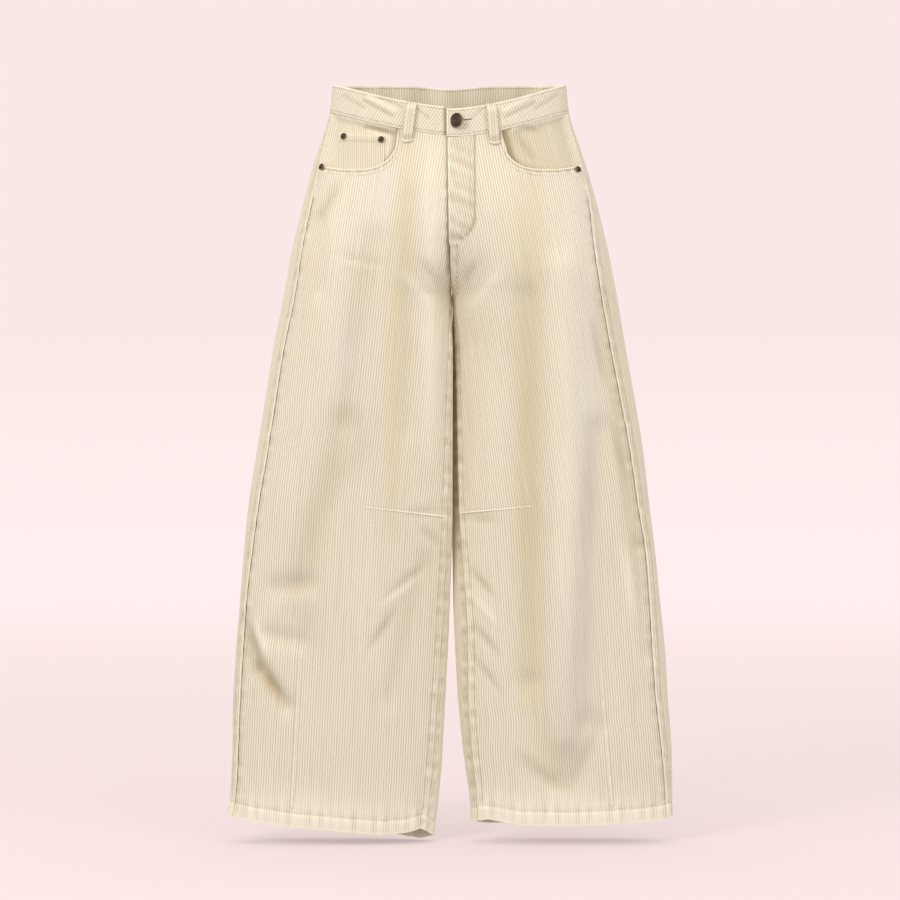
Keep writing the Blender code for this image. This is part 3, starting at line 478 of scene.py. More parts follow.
@dataclass
class ClothSurface:
    """The surface that every cloth piece is cut from."""

    crotch_round: float = 120 * MM
    crotch_shift: float = 3 * MM
    gap_ramp: float = 30 * MM
    leg_lap: float = 28 * MM
    lap_ramp: float = 80 * MM
    lap_fade: tuple[float, float] = (600 * MM, 780 * MM)
    close_until: float = -400 * MM
    close_half: float = 1.5 * MM
    crest_top: float = -60 * MM
    side_power: float = 2.4
    depth_power: float = 1.8
    waist_dip: dict[Leg, float] = field(default_factory=lambda: {R: 36 * MM, L: 39.5 * MM})
    waist_dip_power: float = 1.6
    back_lift: float = 5.5 * MM
    back_notch: float = 4.5 * MM
    back_notch_width: float = 35 * MM
    waist_fade: tuple[float, float] = (-270 * MM, -39 * MM)
    hem_fade: tuple[float, float] = (-1000 * MM, -760 * MM)
    first_turn: float = -0.15
    last_turn: float = 1.2
    tables: dict[Leg, LegTable] = field(default_factory=dict)

    def __post_init__(self) -> None:
        """Samples both legs."""
        coarse = np.arange(-1026, 4.1, 4.0)
        fine = np.arange(-336.0, -281.0, 1.0)
        top = np.arange(-46.0, 2.0, 2.0)
        self.levels = np.unique(np.concatenate([coarse, fine, top])) * MM
        count = int(round((self.last_turn - self.first_turn) * 2 * HALF_STEPS)) + 1
        self.turns = np.linspace(self.first_turn, self.last_turn, count)
        for leg in Leg:
            self.tables[leg] = self._table(leg)

    @staticmethod
    def _section(level: float, column: str) -> float:
        """One column of SECTIONS at a level, in metres."""
        rows = [getattr(row, column) for row in SECTIONS]
        return smooth_curve(level / MM, [row.level for row in SECTIONS], rows) * MM

    @staticmethod
    def _inner(level: float, column: str) -> float:
        """One column of INNERS at a level, in metres."""
        rows = [getattr(row, column) for row in INNERS]
        return float(np.interp(-level / MM, [-row.level for row in INNERS], rows)) * MM

    def centre_x(self, leg: Leg, level: float) -> float:
        """X of the edge where a leg meets the middle, or of its inner edge below the crotch."""
        sewn = self.crotch_shift * min(1.0, level / CROTCH_LEVEL) + leg.sign * SEAM_GAP / 2
        if level >= CROTCH_LEVEL:
            return sewn
        apart = float(smooth_step(CROTCH_LEVEL - level, 0.0, self.gap_ramp))
        edge = leg.sign * self.close_half + self.crotch_shift
        if level < self.close_until:
            edge = self._inner(level, "in_" + leg.value)
        return sewn + (edge - sewn) * apart

    def _shift(self, leg: Leg, level: float, across: Array, is_front: Array, x: Array) -> Array:
        """How far points lie above their level, because waist and hem aren't flat."""
        near_waist = float(smooth_step(level, *self.waist_fade))
        front = -self.waist_dip[leg] * (1.0 - across**self.waist_dip_power)
        back = self.back_lift * (1.0 - across**3)
        back = back - self.back_notch * hump(x, 0.0, self.back_notch_width)
        waist = np.where(is_front, front, back) * near_waist
        near_hem = 1.0 - float(smooth_step(level, *self.hem_fade))
        if near_hem <= 0.0:
            return waist
        rows = HEMS[leg]
        places = [row.across for row in rows]
        before = np.interp(1.0 - across, places, [row.front for row in rows]) * MM
        behind = np.interp(1.0 - across, places, [row.back for row in rows]) * MM
        return waist + (np.where(is_front, before, behind) - HEM_LEVEL) * near_hem

    def _half(
        self, inner: float, outer: float, depth: float, crest: float, share: float,
    ) -> tuple[Array, Array]:
        """The front or back half of an outline, with more samples where it turns sharply.

        Args:
            inner: X of the middle or inner edge.
            outer: X of the outer edge.
            depth: Y of the fullest point.
            crest: How far out the fullest point lies.
            share: The depth at the middle, as a share of depth.

        Returns:
            X and Y of the samples.
        """
        quarter = np.linspace(0.0, math.pi / 2, HALF_STEPS + 1)
        start = math.asin(share ** (self.depth_power / 2))
        rise = start + (math.pi / 2 - start) * np.linspace(0.0, 1.0, HALF_STEPS + 1)
        widest = max(math.cos(start) ** (2 / self.side_power), 1e-9)
        inside = crest * (1.0 - np.abs(np.cos(rise[:-1])) ** (2 / self.side_power) / widest)
        inside[0] = 0.0
        outside = crest + (1.0 - crest) * np.abs(np.sin(quarter)) ** (2 / self.side_power)
        x = inner + (outer - inner) * np.concatenate([inside, outside])
        y = depth * np.concatenate([
            np.sin(rise[:-1]) ** (2 / self.depth_power),
            np.abs(np.cos(quarter)) ** (2 / self.depth_power),
        ])
        apart = np.hypot(np.diff(x), np.diff(y)) > 0.01 * MM
        keep = np.concatenate([[True], apart])
        x, y = x[keep], y[keep]
        dx, dy = np.diff(x), np.diff(y)
        bend = np.abs(np.diff(np.unwrap(np.arctan2(dy, dx))))
        bend = np.concatenate([[0.0], bend])
        measure = np.concatenate([[0.0], np.cumsum(np.hypot(dx, dy) + BEND_RADIUS * bend)])
        even = np.linspace(0.0, measure[-1], HALF_STEPS + 1)
        return np.interp(even, measure, x), np.interp(even, measure, y)

    def _outline(self, leg: Leg, level: float) -> Array:
        """Points of one leg's outline at a level, from turn 0 to turn 1."""
        outer = leg.sign * self._section(level, "out_" + leg.value)
        inner = self.centre_x(leg, level)
        up = float(np.clip((level - CROTCH_LEVEL) / self.crotch_round, 0.0, 1.0))
        share = math.sqrt(max(0.0, 1.0 - (1.0 - up) ** 2))
        crest = 0.5 * (1.0 - float(smooth_step(level, CROTCH_LEVEL, self.crest_top)))
        front_depth = self._section(level, "front")
        fx, fy = self._half(inner, outer, -front_depth, crest, share)
        bx, by = self._half(inner, outer, self._section(level, "back"), crest, share)
        x, y = np.concatenate([fx, bx[-2::-1]]), np.concatenate([fy, by[-2::-1]])
        is_front = np.arange(len(x)) <= HALF_STEPS
        across = np.clip((x - inner) / (outer - inner), 0.0, 1.0)
        z = level + self._shift(leg, level, across, is_front, x)
        below = float(smooth_step(CROTCH_LEVEL - level, 0.0, self.lap_ramp))
        below *= 1.0 - float(smooth_step(-level, *self.lap_fade))
        x = x - self.leg_lap * below * (y / front_depth) * (1.0 - across) ** 4
        dx, dy = np.gradient(x), np.gradient(y)
        length = np.hypot(dx, dy)
        out_x, out_y = leg.sign * dy / length, -leg.sign * dx / length
        height = along_lines(MAIN_FOLDS, leg, x, z, out_y, "height") * MM
        return np.column_stack([x + out_x * height, y + out_y * height, z])

    def _table(self, leg: Leg) -> LegTable:
        """Samples one leg at every level and turn, with its seams."""
        rows: list[list[Array]] = [[], [], []]
        seams: list[tuple[float, float]] = []
        own = np.linspace(0.0, 1.0, 2 * HALF_STEPS + 1)
        for level in self.levels:
            points = self._outline(leg, level)
            closed = level <= CROTCH_LEVEL
            rise = self._outline(leg, level + MM) - self._outline(leg, level - MM)
            along = np.gradient(points, axis=0)
            if closed:
                along[0] = along[-1] = points[1] - points[-2]
            normals = np.cross(along, rise) * leg.sign
            normals /= np.linalg.norm(normals, axis=1)[:, None]
            arc = np.concatenate([[0.0], np.cumsum(np.linalg.norm(np.diff(points, axis=0), axis=1))])
            seams.append(self._seams(leg, level, points, own, closed))
            wide_points, wide_normals, wide_arc = self._widen(own, points, normals, arc, closed)
            rows[0].append(wide_points)
            rows[1].append(wide_normals)
            rows[2].append(wide_arc)
        outs, ins = (np.array(column) for column in zip(*seams))
        return LegTable(np.array(rows[0]), np.array(rows[1]), np.array(rows[2]), outs, ins)

    def _seams(
        self, leg: Leg, level: float, points: Array, own: Array, closed: bool,
    ) -> tuple[float, float]:
        """The turns of the outer and inner seam at a level."""
        reach = leg.sign * (points[: HALF_STEPS + 1, 0] - points[0, 0])
        first = int(np.argmin(reach[: HALF_STEPS // 2]))
        reach = np.maximum.accumulate(reach[first:])
        turns = own[first : HALF_STEPS + 1]
        wrap = self._section(level, "wrap_" + leg.value)
        out_turn = float(np.interp(reach[-1] - wrap, reach, turns))
        in_turn = 0.0
        if closed:
            tuck = reach[0] + self._inner(level, "tuck_" + leg.value)
            in_turn = float(np.interp(tuck, reach, turns)) if tuck > reach[0] else 0.0
        return out_turn, in_turn

    def _widen(
        self, own: Array, points: Array, normals: Array, arc: Array, closed: bool,
    ) -> tuple[Array, Array, Array]:
        """Carries a level's samples past turns 0 and 1: round a leg, or mirrored above the crotch."""
        if closed:
            place, whole = self.turns % 1.0, np.floor(self.turns)
        else:
            place = 1.0 - np.abs(1.0 - np.abs(self.turns))
            whole = np.zeros_like(self.turns)
        wide_points, wide_normals = (
            np.column_stack([np.interp(place, own, values[:, i]) for i in range(3)])
            for values in (points, normals)
        )
        wide_arc = np.interp(place, own, arc) + whole * arc[-1]
        if not closed:
            before, after = self.turns < 0.0, self.turns > 1.0
            for mask, edge in ((before, points[0, 0]), (after, points[-1, 0])):
                wide_points[mask, 0] = 2 * edge - wide_points[mask, 0]
                wide_normals[mask, 0] = -wide_normals[mask, 0]
            wide_arc[before] = -wide_arc[before]
            wide_arc[after] = 2 * arc[-1] - wide_arc[after]
        return wide_points, wide_normals, wide_arc

    def row(self, level: Array | float) -> tuple[Array, Array]:
        """The table rows around a level: the lower row's number, and the share of the upper."""
        place = np.interp(level, self.levels, np.arange(len(self.levels)))
        low = np.clip(place.astype(int) if isinstance(place, np.ndarray) else int(place), 0,
                      len(self.levels) - 2)
        return low, place - low

    def at(self, leg: Leg, level: Array | float, turn: Array | float, out: Array | float = 0.0) -> Spots:
        """Points of the surface, moved out along its normals.

        Args:
            leg: The side.
            level: Their levels.
            turn: Their turns.
            out: How far out they are moved.

        Returns:
            The points and the normals there.
        """
        table = self.tables[leg]
        level, turn, out = np.broadcast_arrays(*(np.asarray(v, float) for v in (level, turn, out)))
        low, up = self.row(level)
        step = self.turns[1] - self.turns[0]
        place = np.clip((turn - self.turns[0]) / step, 0.0, len(self.turns) - 1.001)
        left = place.astype(int)
        side = (place - left)[..., None]
        up = up[..., None]

        def blend(values: Array) -> Array:
            """A table's values at the points, between its own rows and columns."""
            lower = values[low, left] * (1 - side) + values[low, left + 1] * side
            upper = values[low + 1, left] * (1 - side) + values[low + 1, left + 1] * side
            return lower * (1 - up) + upper * up

        normals = blend(table.normals)
        normals /= np.linalg.norm(normals, axis=-1, keepdims=True)
        return Spots(blend(table.points) + normals * out[..., None], normals)

    def arc_of(self, leg: Leg, level: float, turn: float | Array) -> float | Array:
        """The length round from the middle to a turn, at one level."""
        low, up = self.row(level)
        arcs = self.tables[leg].arc
        return np.interp(turn, self.turns, arcs[low] * (1 - up) + arcs[low + 1] * up)

    def turn_of(self, leg: Leg, level: float, arc: float | Array) -> float | Array:
        """The turn at a length round from the middle, at one level."""
        low, up = self.row(level)
        arcs = self.tables[leg].arc
        return np.interp(arc, arcs[low] * (1 - up) + arcs[low + 1] * up, self.turns)

    def seam_turn(self, leg: Leg, level: float | Array, inner: bool) -> float | Array:
        """The turn of the outer or the inner seam."""
        table = self.tables[leg]
        return np.interp(level, self.levels, table.in_turn if inner else table.out_turn)

    @staticmethod
    def way_out(face: Face) -> Array:
        """Turns from the middle out to the side, in front or behind."""
        return np.linspace(0.0, 0.5, 241) if face is FRONT else np.linspace(1.0, 0.5, 241)

    def place(self, leg: Leg, x: float, z: float, face: Face = FRONT) -> tuple[float, float]:
        """Level and turn of the point with this distance from the middle plane and this height."""
        level = z
        turns = self.way_out(face)
        turn = 0.25
        for _ in range(10):
            reach = leg.sign * self.at(leg, level, turns).points[:, 0]
            turn = float(np.interp(x, np.maximum.accumulate(reach), turns))
            level += z - float(self.at(leg, level, turn).points[2])
        return level, turn


# ---- Finishes


class Nodes:
    """A short way to write a tree of nodes."""

    def __init__(self, tree: bpy.types.NodeTree) -> None:
        """Starts with a tree that may hold nodes already."""
        self.tree = tree

    def add(
        self, kind: str, inputs: dict[str | int, object] | None = None, **settings: object,
    ) -> bpy.types.Node:
        """Adds a node. An input is a value, or a socket to link from."""
        node = self.tree.nodes.new(kind)
        for key, value in settings.items():
            setattr(node, key, value)
        for key, value in (inputs or {}).items():
            self.put(node.inputs[key], value)
        return node

    def put(self, socket: bpy.types.NodeSocket, value: object) -> None:
        """Sets a socket or links it."""
        if isinstance(value, bpy.types.NodeSocket):
            self.tree.links.new(value, socket)
        else:
            socket.default_value = value

    def maths(self, operation: str, *values: object) -> bpy.types.NodeSocket:
        """A maths node's result."""
        return self.add("ShaderNodeMath", dict(enumerate(values)), operation=operation).outputs[0]

    def mix(self, share: object, first: object, second: object) -> bpy.types.NodeSocket:
        """A colour between two others."""
        node = self.add("ShaderNodeMix", {0: share}, data_type="RGBA")
        self.put(node.inputs[6], first)
        self.put(node.inputs[7], second)
        return node.outputs[2]

    def ramp(
        self, value: object, low: float, high: float, to_low: float = 0.0, to_high: float = 1.0,
    ) -> bpy.types.NodeSocket:
        """A value mapped from one range to another, kept inside it."""
        return self.add("ShaderNodeMapRange", {
            "Value": value, "From Min": low, "From Max": high, "To Min": to_low, "To Max": to_high,
        }).outputs[0]

    def noise(
        self, where: object, scale: float, detail: float = 3.0, rough: float = 0.5,
    ) -> bpy.types.NodeSocket:
        """Smooth noise from 0 to 1."""
        return self.add("ShaderNodeTexNoise", {
            "Vector": where, "Scale": scale, "Detail": detail, "Roughness": rough,
        }).outputs["Fac"]


class Finish(Nodes):
    """A material's nodes, round its plain shader."""

    def __init__(self, name: str) -> None:
        """Starts a material."""
        self.material = bpy.data.materials.new(name)
        self.material.use_nodes = True
        super().__init__(self.material.node_tree)
        self.shader = self.tree.nodes["Principled BSDF"]
        self.place = self.add("ShaderNodeTexCoord").outputs["Object"]

    def attribute(self, name: str) -> bpy.types.NodeSocket:
        """A number that the mesh carries at its points."""
        return self.add("ShaderNodeAttribute", attribute_name=name).outputs["Fac"]

    def bump(self, height: object, strength: float, distance: float) -> None:
        """Gives the shader fine relief."""
        node = self.add("ShaderNodeBump", {
            "Height": height, "Strength": strength, "Distance": distance,
        })
        self.put(self.shader.inputs["Normal"], node.outputs[0])

    def set(self, inputs: dict[str, object]) -> None:
        """Sets or links the shader's inputs."""
        for name, value in inputs.items():
            self.put(self.shader.inputs[name], value)


def rgb(red: float, green: float, blue: float) -> tuple[float, float, float, float]:
    """A shader colour from screen values of 0 to 255."""
    def linear(value: float) -> float:
        """One screen value as light."""
        share = value / 255
        return share / 12.92 if share <= 0.04045 else ((share + 0.055) / 1.055) ** 2.4

    return linear(red), linear(green), linear(blue), 1.0


@dataclass(frozen=True)
class Corduroy:
    """Cotton corduroy: rounded cords of pile with a narrow ground between them."""

    name: str
    crown: Colour = (243, 232, 212)
    # ground: the ground weave's tone in the grooves, and painted shade there.
    ground: Colour = (192, 173, 140)
    # warm and cool tint the painted light and shade bands, partly the pile's lie.
    warm: Colour = (229, 210, 170)
    cool: Colour = (226, 216, 204)
    # dark is painted shade and light a painted highlight, both also used for random streaks; deep is painted
    # shadow where the lightness falls lowest, such as the buttonhole's slit and under the fly's edge.
    dark: Colour = (176, 158, 126)
    light: Colour = (253, 243, 222)
    deep: Colour = (104, 88, 66)
    sheen: Colour = (255, 246, 230)
    roughness: float = 0.92
    relief: float = 0.45

    @staticmethod
    def stretched(
        n: Finish, across: bpy.types.NodeSocket, along: bpy.types.NodeSocket, scale: tuple[float, float],
        rough: float,
    ) -> bpy.types.NodeSocket:
        """Noise that follows the cords, scaled across and along them."""
        place = n.add("ShaderNodeCombineXYZ", {
            0: n.maths("MULTIPLY", across, scale[0]), 1: n.maths("MULTIPLY", along, scale[1]),
        })
        return n.noise(place.outputs[0], 1.0, 3.0, rough)

    def build(self) -> bpy.types.Material:
        """Makes the material. It reads the wale's number along U, how strongly the cords show, and the
        painted light and shade.
        """
        n = Finish(self.name)
        uv = n.add("ShaderNodeUVMap", uv_map="wales").outputs[0]
        across, along, _ = n.add("ShaderNodeSeparateXYZ", {0: uv}).outputs
        wobble = n.maths("MULTIPLY_ADD", n.noise(uv, 0.35, 2.0), 0.30, -0.15)
        wave = n.maths("SINE", n.maths("MULTIPLY", n.maths("ADD", across, wobble), math.pi))
        cord = n.maths("POWER", n.maths("ABSOLUTE", wave), 0.75)
        streak = self.stretched(n, across, along, (0.9, 0.035), 0.6)
        tuft = self.stretched(n, across, along, (2.0, 1.6), 0.65)
        mottle = n.noise(n.place, 22.0, 3.0, 0.55)
        warmth, lightness, pile = (n.attribute(name) for name in ("warmth", "lightness", "pile"))
        groove = n.maths("MULTIPLY", n.maths("SUBTRACT", 1.0, cord), pile)
        warm = n.maths("MULTIPLY_ADD", mottle, 0.5, n.maths("ADD", warmth, -0.25))
        # Over the crown: the grooves, partly painted shade; the warm and cool painted bands; painted shade,
        # shadow and highlight from the lightness; then random streaks and tufts.
        layers = (
            (groove, 0.06, 0.85, 0.80, self.ground),
            (warm, 0.0, 1.0, 0.62, self.warm),
            (warm, 0.0, -1.0, 0.75, self.cool),
            (lightness, 0.0, -2.0, 1.0, self.dark),
            (lightness, -1.8, -4.2, 0.9, self.deep),
            (lightness, 0.0, 1.0, 0.85, self.light),
            (streak, 0.55, 0.85, 0.38, self.light),
            (streak, 0.45, 0.15, 0.34, self.dark),
            (tuft, 0.56, 0.80, 0.26, self.light),
            (tuft, 0.46, 0.22, 0.22, self.ground),
        )
        colour = rgb(*self.crown)
        for value, low, high, share, over in layers:
            colour = n.mix(n.ramp(value, low, high, 0.0, share), colour, rgb(*over))
        n.set({
            "Base Color": colour, "Roughness": self.roughness, "Specular IOR Level": 0.15,
            "Sheen Weight": 0.22, "Sheen Roughness": 0.5, "Sheen Tint": rgb(*self.sheen),
        })
        fuzz = n.noise(n.place, 1400.0, 2.0, 0.7)
        loose = n.maths("MULTIPLY_ADD", tuft, 0.45, n.maths("MULTIPLY", fuzz, 0.2))
        height = n.maths("MULTIPLY_ADD", n.maths("MULTIPLY", cord, pile), 1.0, loose)
        n.bump(height, self.relief, 0.45 * MM)
        return n.material


@dataclass(frozen=True)
class AntiqueBrass:
    """Brass darkened to brown, with its edges lighter: worn metal, and a painted highlight."""

    name: str = "antique_brass_finish"
    tarnish: Colour = (70, 58, 47)
    worn_and_highlight: Colour = (190, 165, 132)

    def build(self) -> bpy.types.Material:
        """Makes the material."""
        n = Finish(self.name)
        spots = n.noise(n.place, 900.0, 4.0, 0.6)
        # Pointy edges get the lighter colour: wear, and a painted highlight.
        edge = n.ramp(n.add("ShaderNodeNewGeometry").outputs["Pointiness"], 0.53, 0.60)
        share = n.maths("MULTIPLY_ADD", spots, 0.30, n.maths("MULTIPLY", edge, 0.85))
        colour = n.mix(n.ramp(share, 0.12, 0.9), rgb(*self.tarnish), rgb(*self.worn_and_highlight))
        rough = n.ramp(spots, 0.2, 0.8, 0.34, 0.58)
        n.set({"Base Color": colour, "Metallic": 0.9, "Roughness": rough})
        n.bump(spots, 0.25, 0.1 * MM)
        return n.material


@dataclass(frozen=True)
class Thread:
    """Sewing thread, a shade off the cloth."""

    name: str
    light: Colour = (250, 243, 228)
    dark: Colour = (214, 198, 166)

    def build(self) -> bpy.types.Material:
        """Makes the material."""
        n = Finish(self.name)
        twist = n.noise(n.place, 2200.0, 2.0)
        colour = n.mix(twist, rgb(*self.dark), rgb(*self.light))
        n.set({"Base Color": colour, "Roughness": 0.7, "Sheen Weight": 0.2})
        return n.material


@dataclass(frozen=True)
class Backdrop:
    """The studio's pale pink paper, lit so evenly that it hardly shades."""

    name: str = "pink_paper"
    colour: Colour = (254, 234, 234)
    shade: float = 0.46
    glow: tuple[float, float] = (0.42, 0.64)
    reach: tuple[float, float] = (0.8, 6.2)

    def build(self) -> bpy.types.Material:
        """Makes the material: it glows a little more the farther it is from the lamps."""
        n = Finish(self.name)
        away = n.add("ShaderNodeVectorMath", {0: n.place}, operation="LENGTH").outputs["Value"]
        base = rgb(*self.colour)
        n.set({
            "Base Color": (*(self.shade * c for c in base[:3]), 1.0), "Roughness": 1.0,
            "Specular IOR Level": 0.0, "Emission Color": base,
            "Emission Strength": n.ramp(away, *self.reach, *self.glow),
        })
        return n.material


# ---- Cloth meshes


@dataclass
class Sheet:
    """A cloth mesh while it is made: points, what each carries, and faces."""

    points: list[Array] = field(default_factory=list)
    marks: dict[str, list[Array]] = field(
        default_factory=lambda: {k: [] for k in ("u", "v", "warmth", "lightness", "pile")}
    )
    faces: list[tuple[int, ...]] = field(default_factory=list)
    count: int = 0

    def add(self, points: Array, **marks: Array | float) -> Array:
        """Adds a row of points.

        Args:
            points: Their places.
            **marks: What each carries; anything left out is 0.

        Returns:
            The numbers of the new points.
        """
        flat = np.asarray(points, float).reshape(-1, 3)
        self.points.append(flat)
        for key, store in self.marks.items():
            store.append(np.broadcast_to(np.asarray(marks.get(key, 0.0), float), (len(flat),)).copy())
        self.count += len(flat)
        return np.arange(self.count - len(flat), self.count)

    def zip_rows(self, first: Array, first_keys: Array, second: Array, second_keys: Array) -> None:
        """Joins two rows of points whose places along are given by rising keys."""
        i = j = 0
        faces = self.faces
        while i < len(first) - 1 or j < len(second) - 1:
            step_i = first_keys[i + 1] if i < len(first) - 1 else math.inf
            step_j = second_keys[j + 1] if j < len(second) - 1 else math.inf
            if abs(step_i - step_j) < 1e-9:
                faces.append((first[i], first[i + 1], second[j + 1], second[j]))
                i, j = i + 1, j + 1
            elif step_i < step_j:
                faces.append((first[i], first[i + 1], second[j]))
                i += 1
            else:
                faces.append((first[i], second[j + 1], second[j]))
                j += 1

    def grid(self, numbers: Array, flip: bool = False) -> None:
        """Joins a grid of points with quads."""
        a, b = numbers[:-1, :-1].ravel(), numbers[:-1, 1:].ravel()
        c, d = numbers[1:, 1:].ravel(), numbers[1:, :-1].ravel()
        quads = np.column_stack([a, d, c, b] if flip else [a, b, c, d])
        self.faces.extend(map(tuple, quads.tolist()))

    def build(self, name: str, material: bpy.types.Material, sharp: float = 60) -> bpy.types.Object:
        """Makes the object, with its faces outwards."""
        mesh = bpy.data.meshes.new(name)
        faces = [tuple(int(v) for v in face) for face in self.faces]
        mesh.from_pydata(np.concatenate(self.points).tolist(), [], faces)
        marks = {key: np.concatenate(store) for key, store in self.marks.items()}
        corner = np.empty(len(mesh.loops), dtype=np.int32)
        mesh.loops.foreach_get("vertex_index", corner)
        layer = mesh.uv_layers.new(name="wales")
        uv = np.column_stack([marks["u"][corner], marks["v"][corner]]).astype(np.float32)
        layer.data.foreach_set("uv", uv.ravel())
        for key in ("warmth", "lightness", "pile"):
            values = mesh.attributes.new(key, "FLOAT", "POINT")
            values.data.foreach_set("value", marks[key].astype(np.float32))
        made = bmesh.new()
        made.from_mesh(mesh)
        bmesh.ops.recalc_face_normals(made, faces=made.faces)
        made.to_mesh(mesh)
        made.free()
        return finished(name, mesh, material, sharp)


def finished(
    name: str, mesh: bpy.types.Mesh, material: bpy.types.Material, sharp: float = 60,
) -> bpy.types.Object:
    """Makes an object at the origin with smooth shading, and puts it in the scene."""
    mesh.materials.clear()
    mesh.materials.append(material)
    mesh.shade_smooth()
    mesh.set_sharp_from_angle(angle=math.radians(sharp))
    piece = bpy.data.objects.new(name, mesh)
    bpy.context.scene.collection.objects.link(piece)
    return piece


def cords(wales: Array, deep: float) -> Array:
    """How far the pile lies below the cords' crowns, at places across the wales."""
    return deep * (np.abs(np.sin(math.pi * wales)) ** 0.55 - 1.0)


def bump_at(distance: Array | float, centre: float, width: float) -> Array:
    """A soft ridge from 0 to 1 round a distance, with its centre and width in mm."""
    return hump(distance / MM, centre, width)


def pucker(along: Array, seed: float) -> Array:
    """An uneven ripple along a seam, from about -1 to 1."""
    a = along / MM
    return (
        0.5 * np.sin(a / 3.1 + seed) + 0.35 * np.sin(a / 4.7 + 2.1 * seed + 1.0)
        + 0.3 * np.sin(a / 7.9 + 0.7 * seed + 2.0) * np.sin(a / 31.0 + seed)
    )


@dataclass(frozen=True)
class Grain:
    """Where a panel's straight grain runs: X at levels, in mm."""

    levels: tuple[float, ...]
    places: tuple[float, ...]


@dataclass
class PanelMaker:
    """Cuts the four leg panels, with their cords, seams, hems and folds."""

    surface: ClothSurface
    finish: bpy.types.Material
    cord_relief: float = 0.42 * MM
    seam_roll: float = 1.0 * MM
    roll_width: float = 1.3 * MM
    brushed: float = 0.3
    near_top: tuple[float, ...] = (0.0, 0.7, 1.4, 2.2, 3.1, 4.2, 5.6, 7.2, 9.4, 12.0)
    fly_over: float = 4 * MM
    lap_slope: tuple[float, float] = (9 * MM, 40 * MM)
    fell_over: float = 2.0 * MM
    scoop_top: tuple[float, float] = (72 * MM, -66 * MM)
    scoop_low: tuple[float, float] = (128 * MM, -122.5 * MM)
    scoop_rise: float = 6 * MM
    scoop_round: float = 2.6
    scoop_tail: float = 44 * MM
    scoop_end: float = 172 * MM
    upper_end: float = -160 * MM
    row_step: float = 6.5 * MM
    most_columns: int = 420
    grains: dict[tuple[Leg, Face], Grain] = field(default_factory=lambda: {
        (R, FRONT): Grain((-1022, -1005, -582, -130, -39), (-152, -151, -126, -71, -58)),
        (L, FRONT): Grain((-1022, -1005, -582, -130, -39), (196, 195, 162, 85, 70)),
        (R, BACK): Grain((-1022, -600, -130, -39), (-168, -150, -100, -90)),
        (L, BACK): Grain((-1022, -600, -130, -39), (172, 152, 100, 90)),
    })

    def scoop_z(self, reach: Array) -> Array:
        """Height of the pocket mouth's edge at a distance from the middle."""
        (x0, z0), (x1, z1) = self.scoop_top, self.scoop_low
        inward = np.clip((x1 - reach) / (x1 - x0), 0.0, 1.0)
        curve = z0 - (z0 - z1) * (1.0 - inward**self.scoop_round) ** (1 / self.scoop_round)
        out = z1 + self.scoop_rise * (np.maximum(reach - x1, 0.0) / self.scoop_tail) ** 2
        z = np.where(reach < x1, curve, out)
        return np.where(reach <= x0, 1.0, z)

    def column_turns(self, leg: Leg, face: Face, steps: Array) -> Array:
        """The turn of each column at each level of the surface's table."""
        surface = self.surface
        table = surface.tables[leg]
        grain = self.grains[leg, face]
        turns = np.empty((len(surface.levels), len(steps)))
        span = np.linspace(0.02, 0.5, 200) if face is FRONT else np.linspace(0.98, 0.5, 200)
        for i, level in enumerate(surface.levels):
            x = abs(float(np.interp(level / MM, grain.levels, grain.places))) * MM
            reach = leg.sign * np.interp(span, surface.turns, table.points[i, :, 0])
            middle = float(np.interp(x, np.maximum.accumulate(reach), span))
            arc = float(np.interp(middle, surface.turns, table.arc[i]))
            turns[i] = np.interp(arc + steps, table.arc[i], surface.turns)
        return turns

    def edges(self, leg: Leg, face: Face, level: Array) -> tuple[Array, Array]:
        """The turns of a panel's two edges at levels, in rising order."""
        surface = self.surface
        out_turn = surface.seam_turn(leg, level, False)
        in_turn = surface.seam_turn(leg, level, True)
        level = np.asarray(level)
        low, high = np.empty_like(level), np.empty_like(level)
        for i, own in enumerate(level):
            out_arc = surface.arc_of(leg, own, out_turn[i])
            in_arc = surface.arc_of(leg, own, in_turn[i] + (face is BACK))
            closed = own <= CROTCH_LEVEL
            gap = SEAM_GAP / 2
            if face is FRONT:
                first = in_arc + (gap if closed else 0.0)
                if leg is L and not closed:
                    z = float(surface.at(leg, own, 0.0).points[2])
                    beside = float(smooth_step(z, FLY_BOTTOM_Z - 8 * MM, FLY_BOTTOM_Z))
                    felled = float(smooth_step(own, CROTCH_LEVEL, CROTCH_LEVEL + 12 * MM))
                    first -= self.fly_over * beside + self.fell_over * (1.0 - beside) * felled
                low[i], high[i] = first, out_arc - gap
            else:
                low[i], high[i] = out_arc + gap, in_arc - (gap if closed else 0.0)
            low[i], high[i] = surface.turn_of(leg, own, np.array([low[i], high[i]]))
        return low, high

    def tops(self, leg: Leg, face: Face, turns: Array) -> Array:
        """The level where each column starts: at the band, or at the pocket mouth."""
        surface = self.surface
        count = turns.shape[1]
        tops = np.full(count, PANEL_TOP)
        if face is BACK:
            return tops
        levels = np.linspace(PANEL_TOP, -150 * MM, 90)
        low, up = surface.row(levels)
        own = turns[low] * (1 - up)[:, None] + turns[low + 1] * up[:, None]
        spots = surface.at(leg, levels[:, None], own).points
        below = self.scoop_z(leg.sign * spots[..., 0]) - spots[..., 2]
        for k in range(count):
            above = np.nonzero(below[:, k] < 0.0)[0]
            if not len(above):
                continue
            i = min(int(above[-1]), len(levels) - 2)
            share = below[i, k] / (below[i, k] - below[i + 1, k])
            tops[k] = levels[i] + (levels[i + 1] - levels[i]) * share
        return tops

    def mouth(self, leg: Leg, x: Array, z: Array) -> Array:
        """How far points lie from the pocket mouth's edge: more than 0 on the panel."""
        across, down = self.scoop_path()
        away = np.full(np.shape(x), 60 * MM)
        near = (z > -150 * MM) & (np.abs(x) > 60 * MM)
        if np.any(near):
            dx = np.abs(x[near])[:, None] - across
            dz = z[near][:, None] - down
            away[near] = np.sqrt(dx * dx + dz * dz).min(axis=1)
        inside = z > self.scoop_z(leg.sign * x)
        return np.where(inside, -away, away)

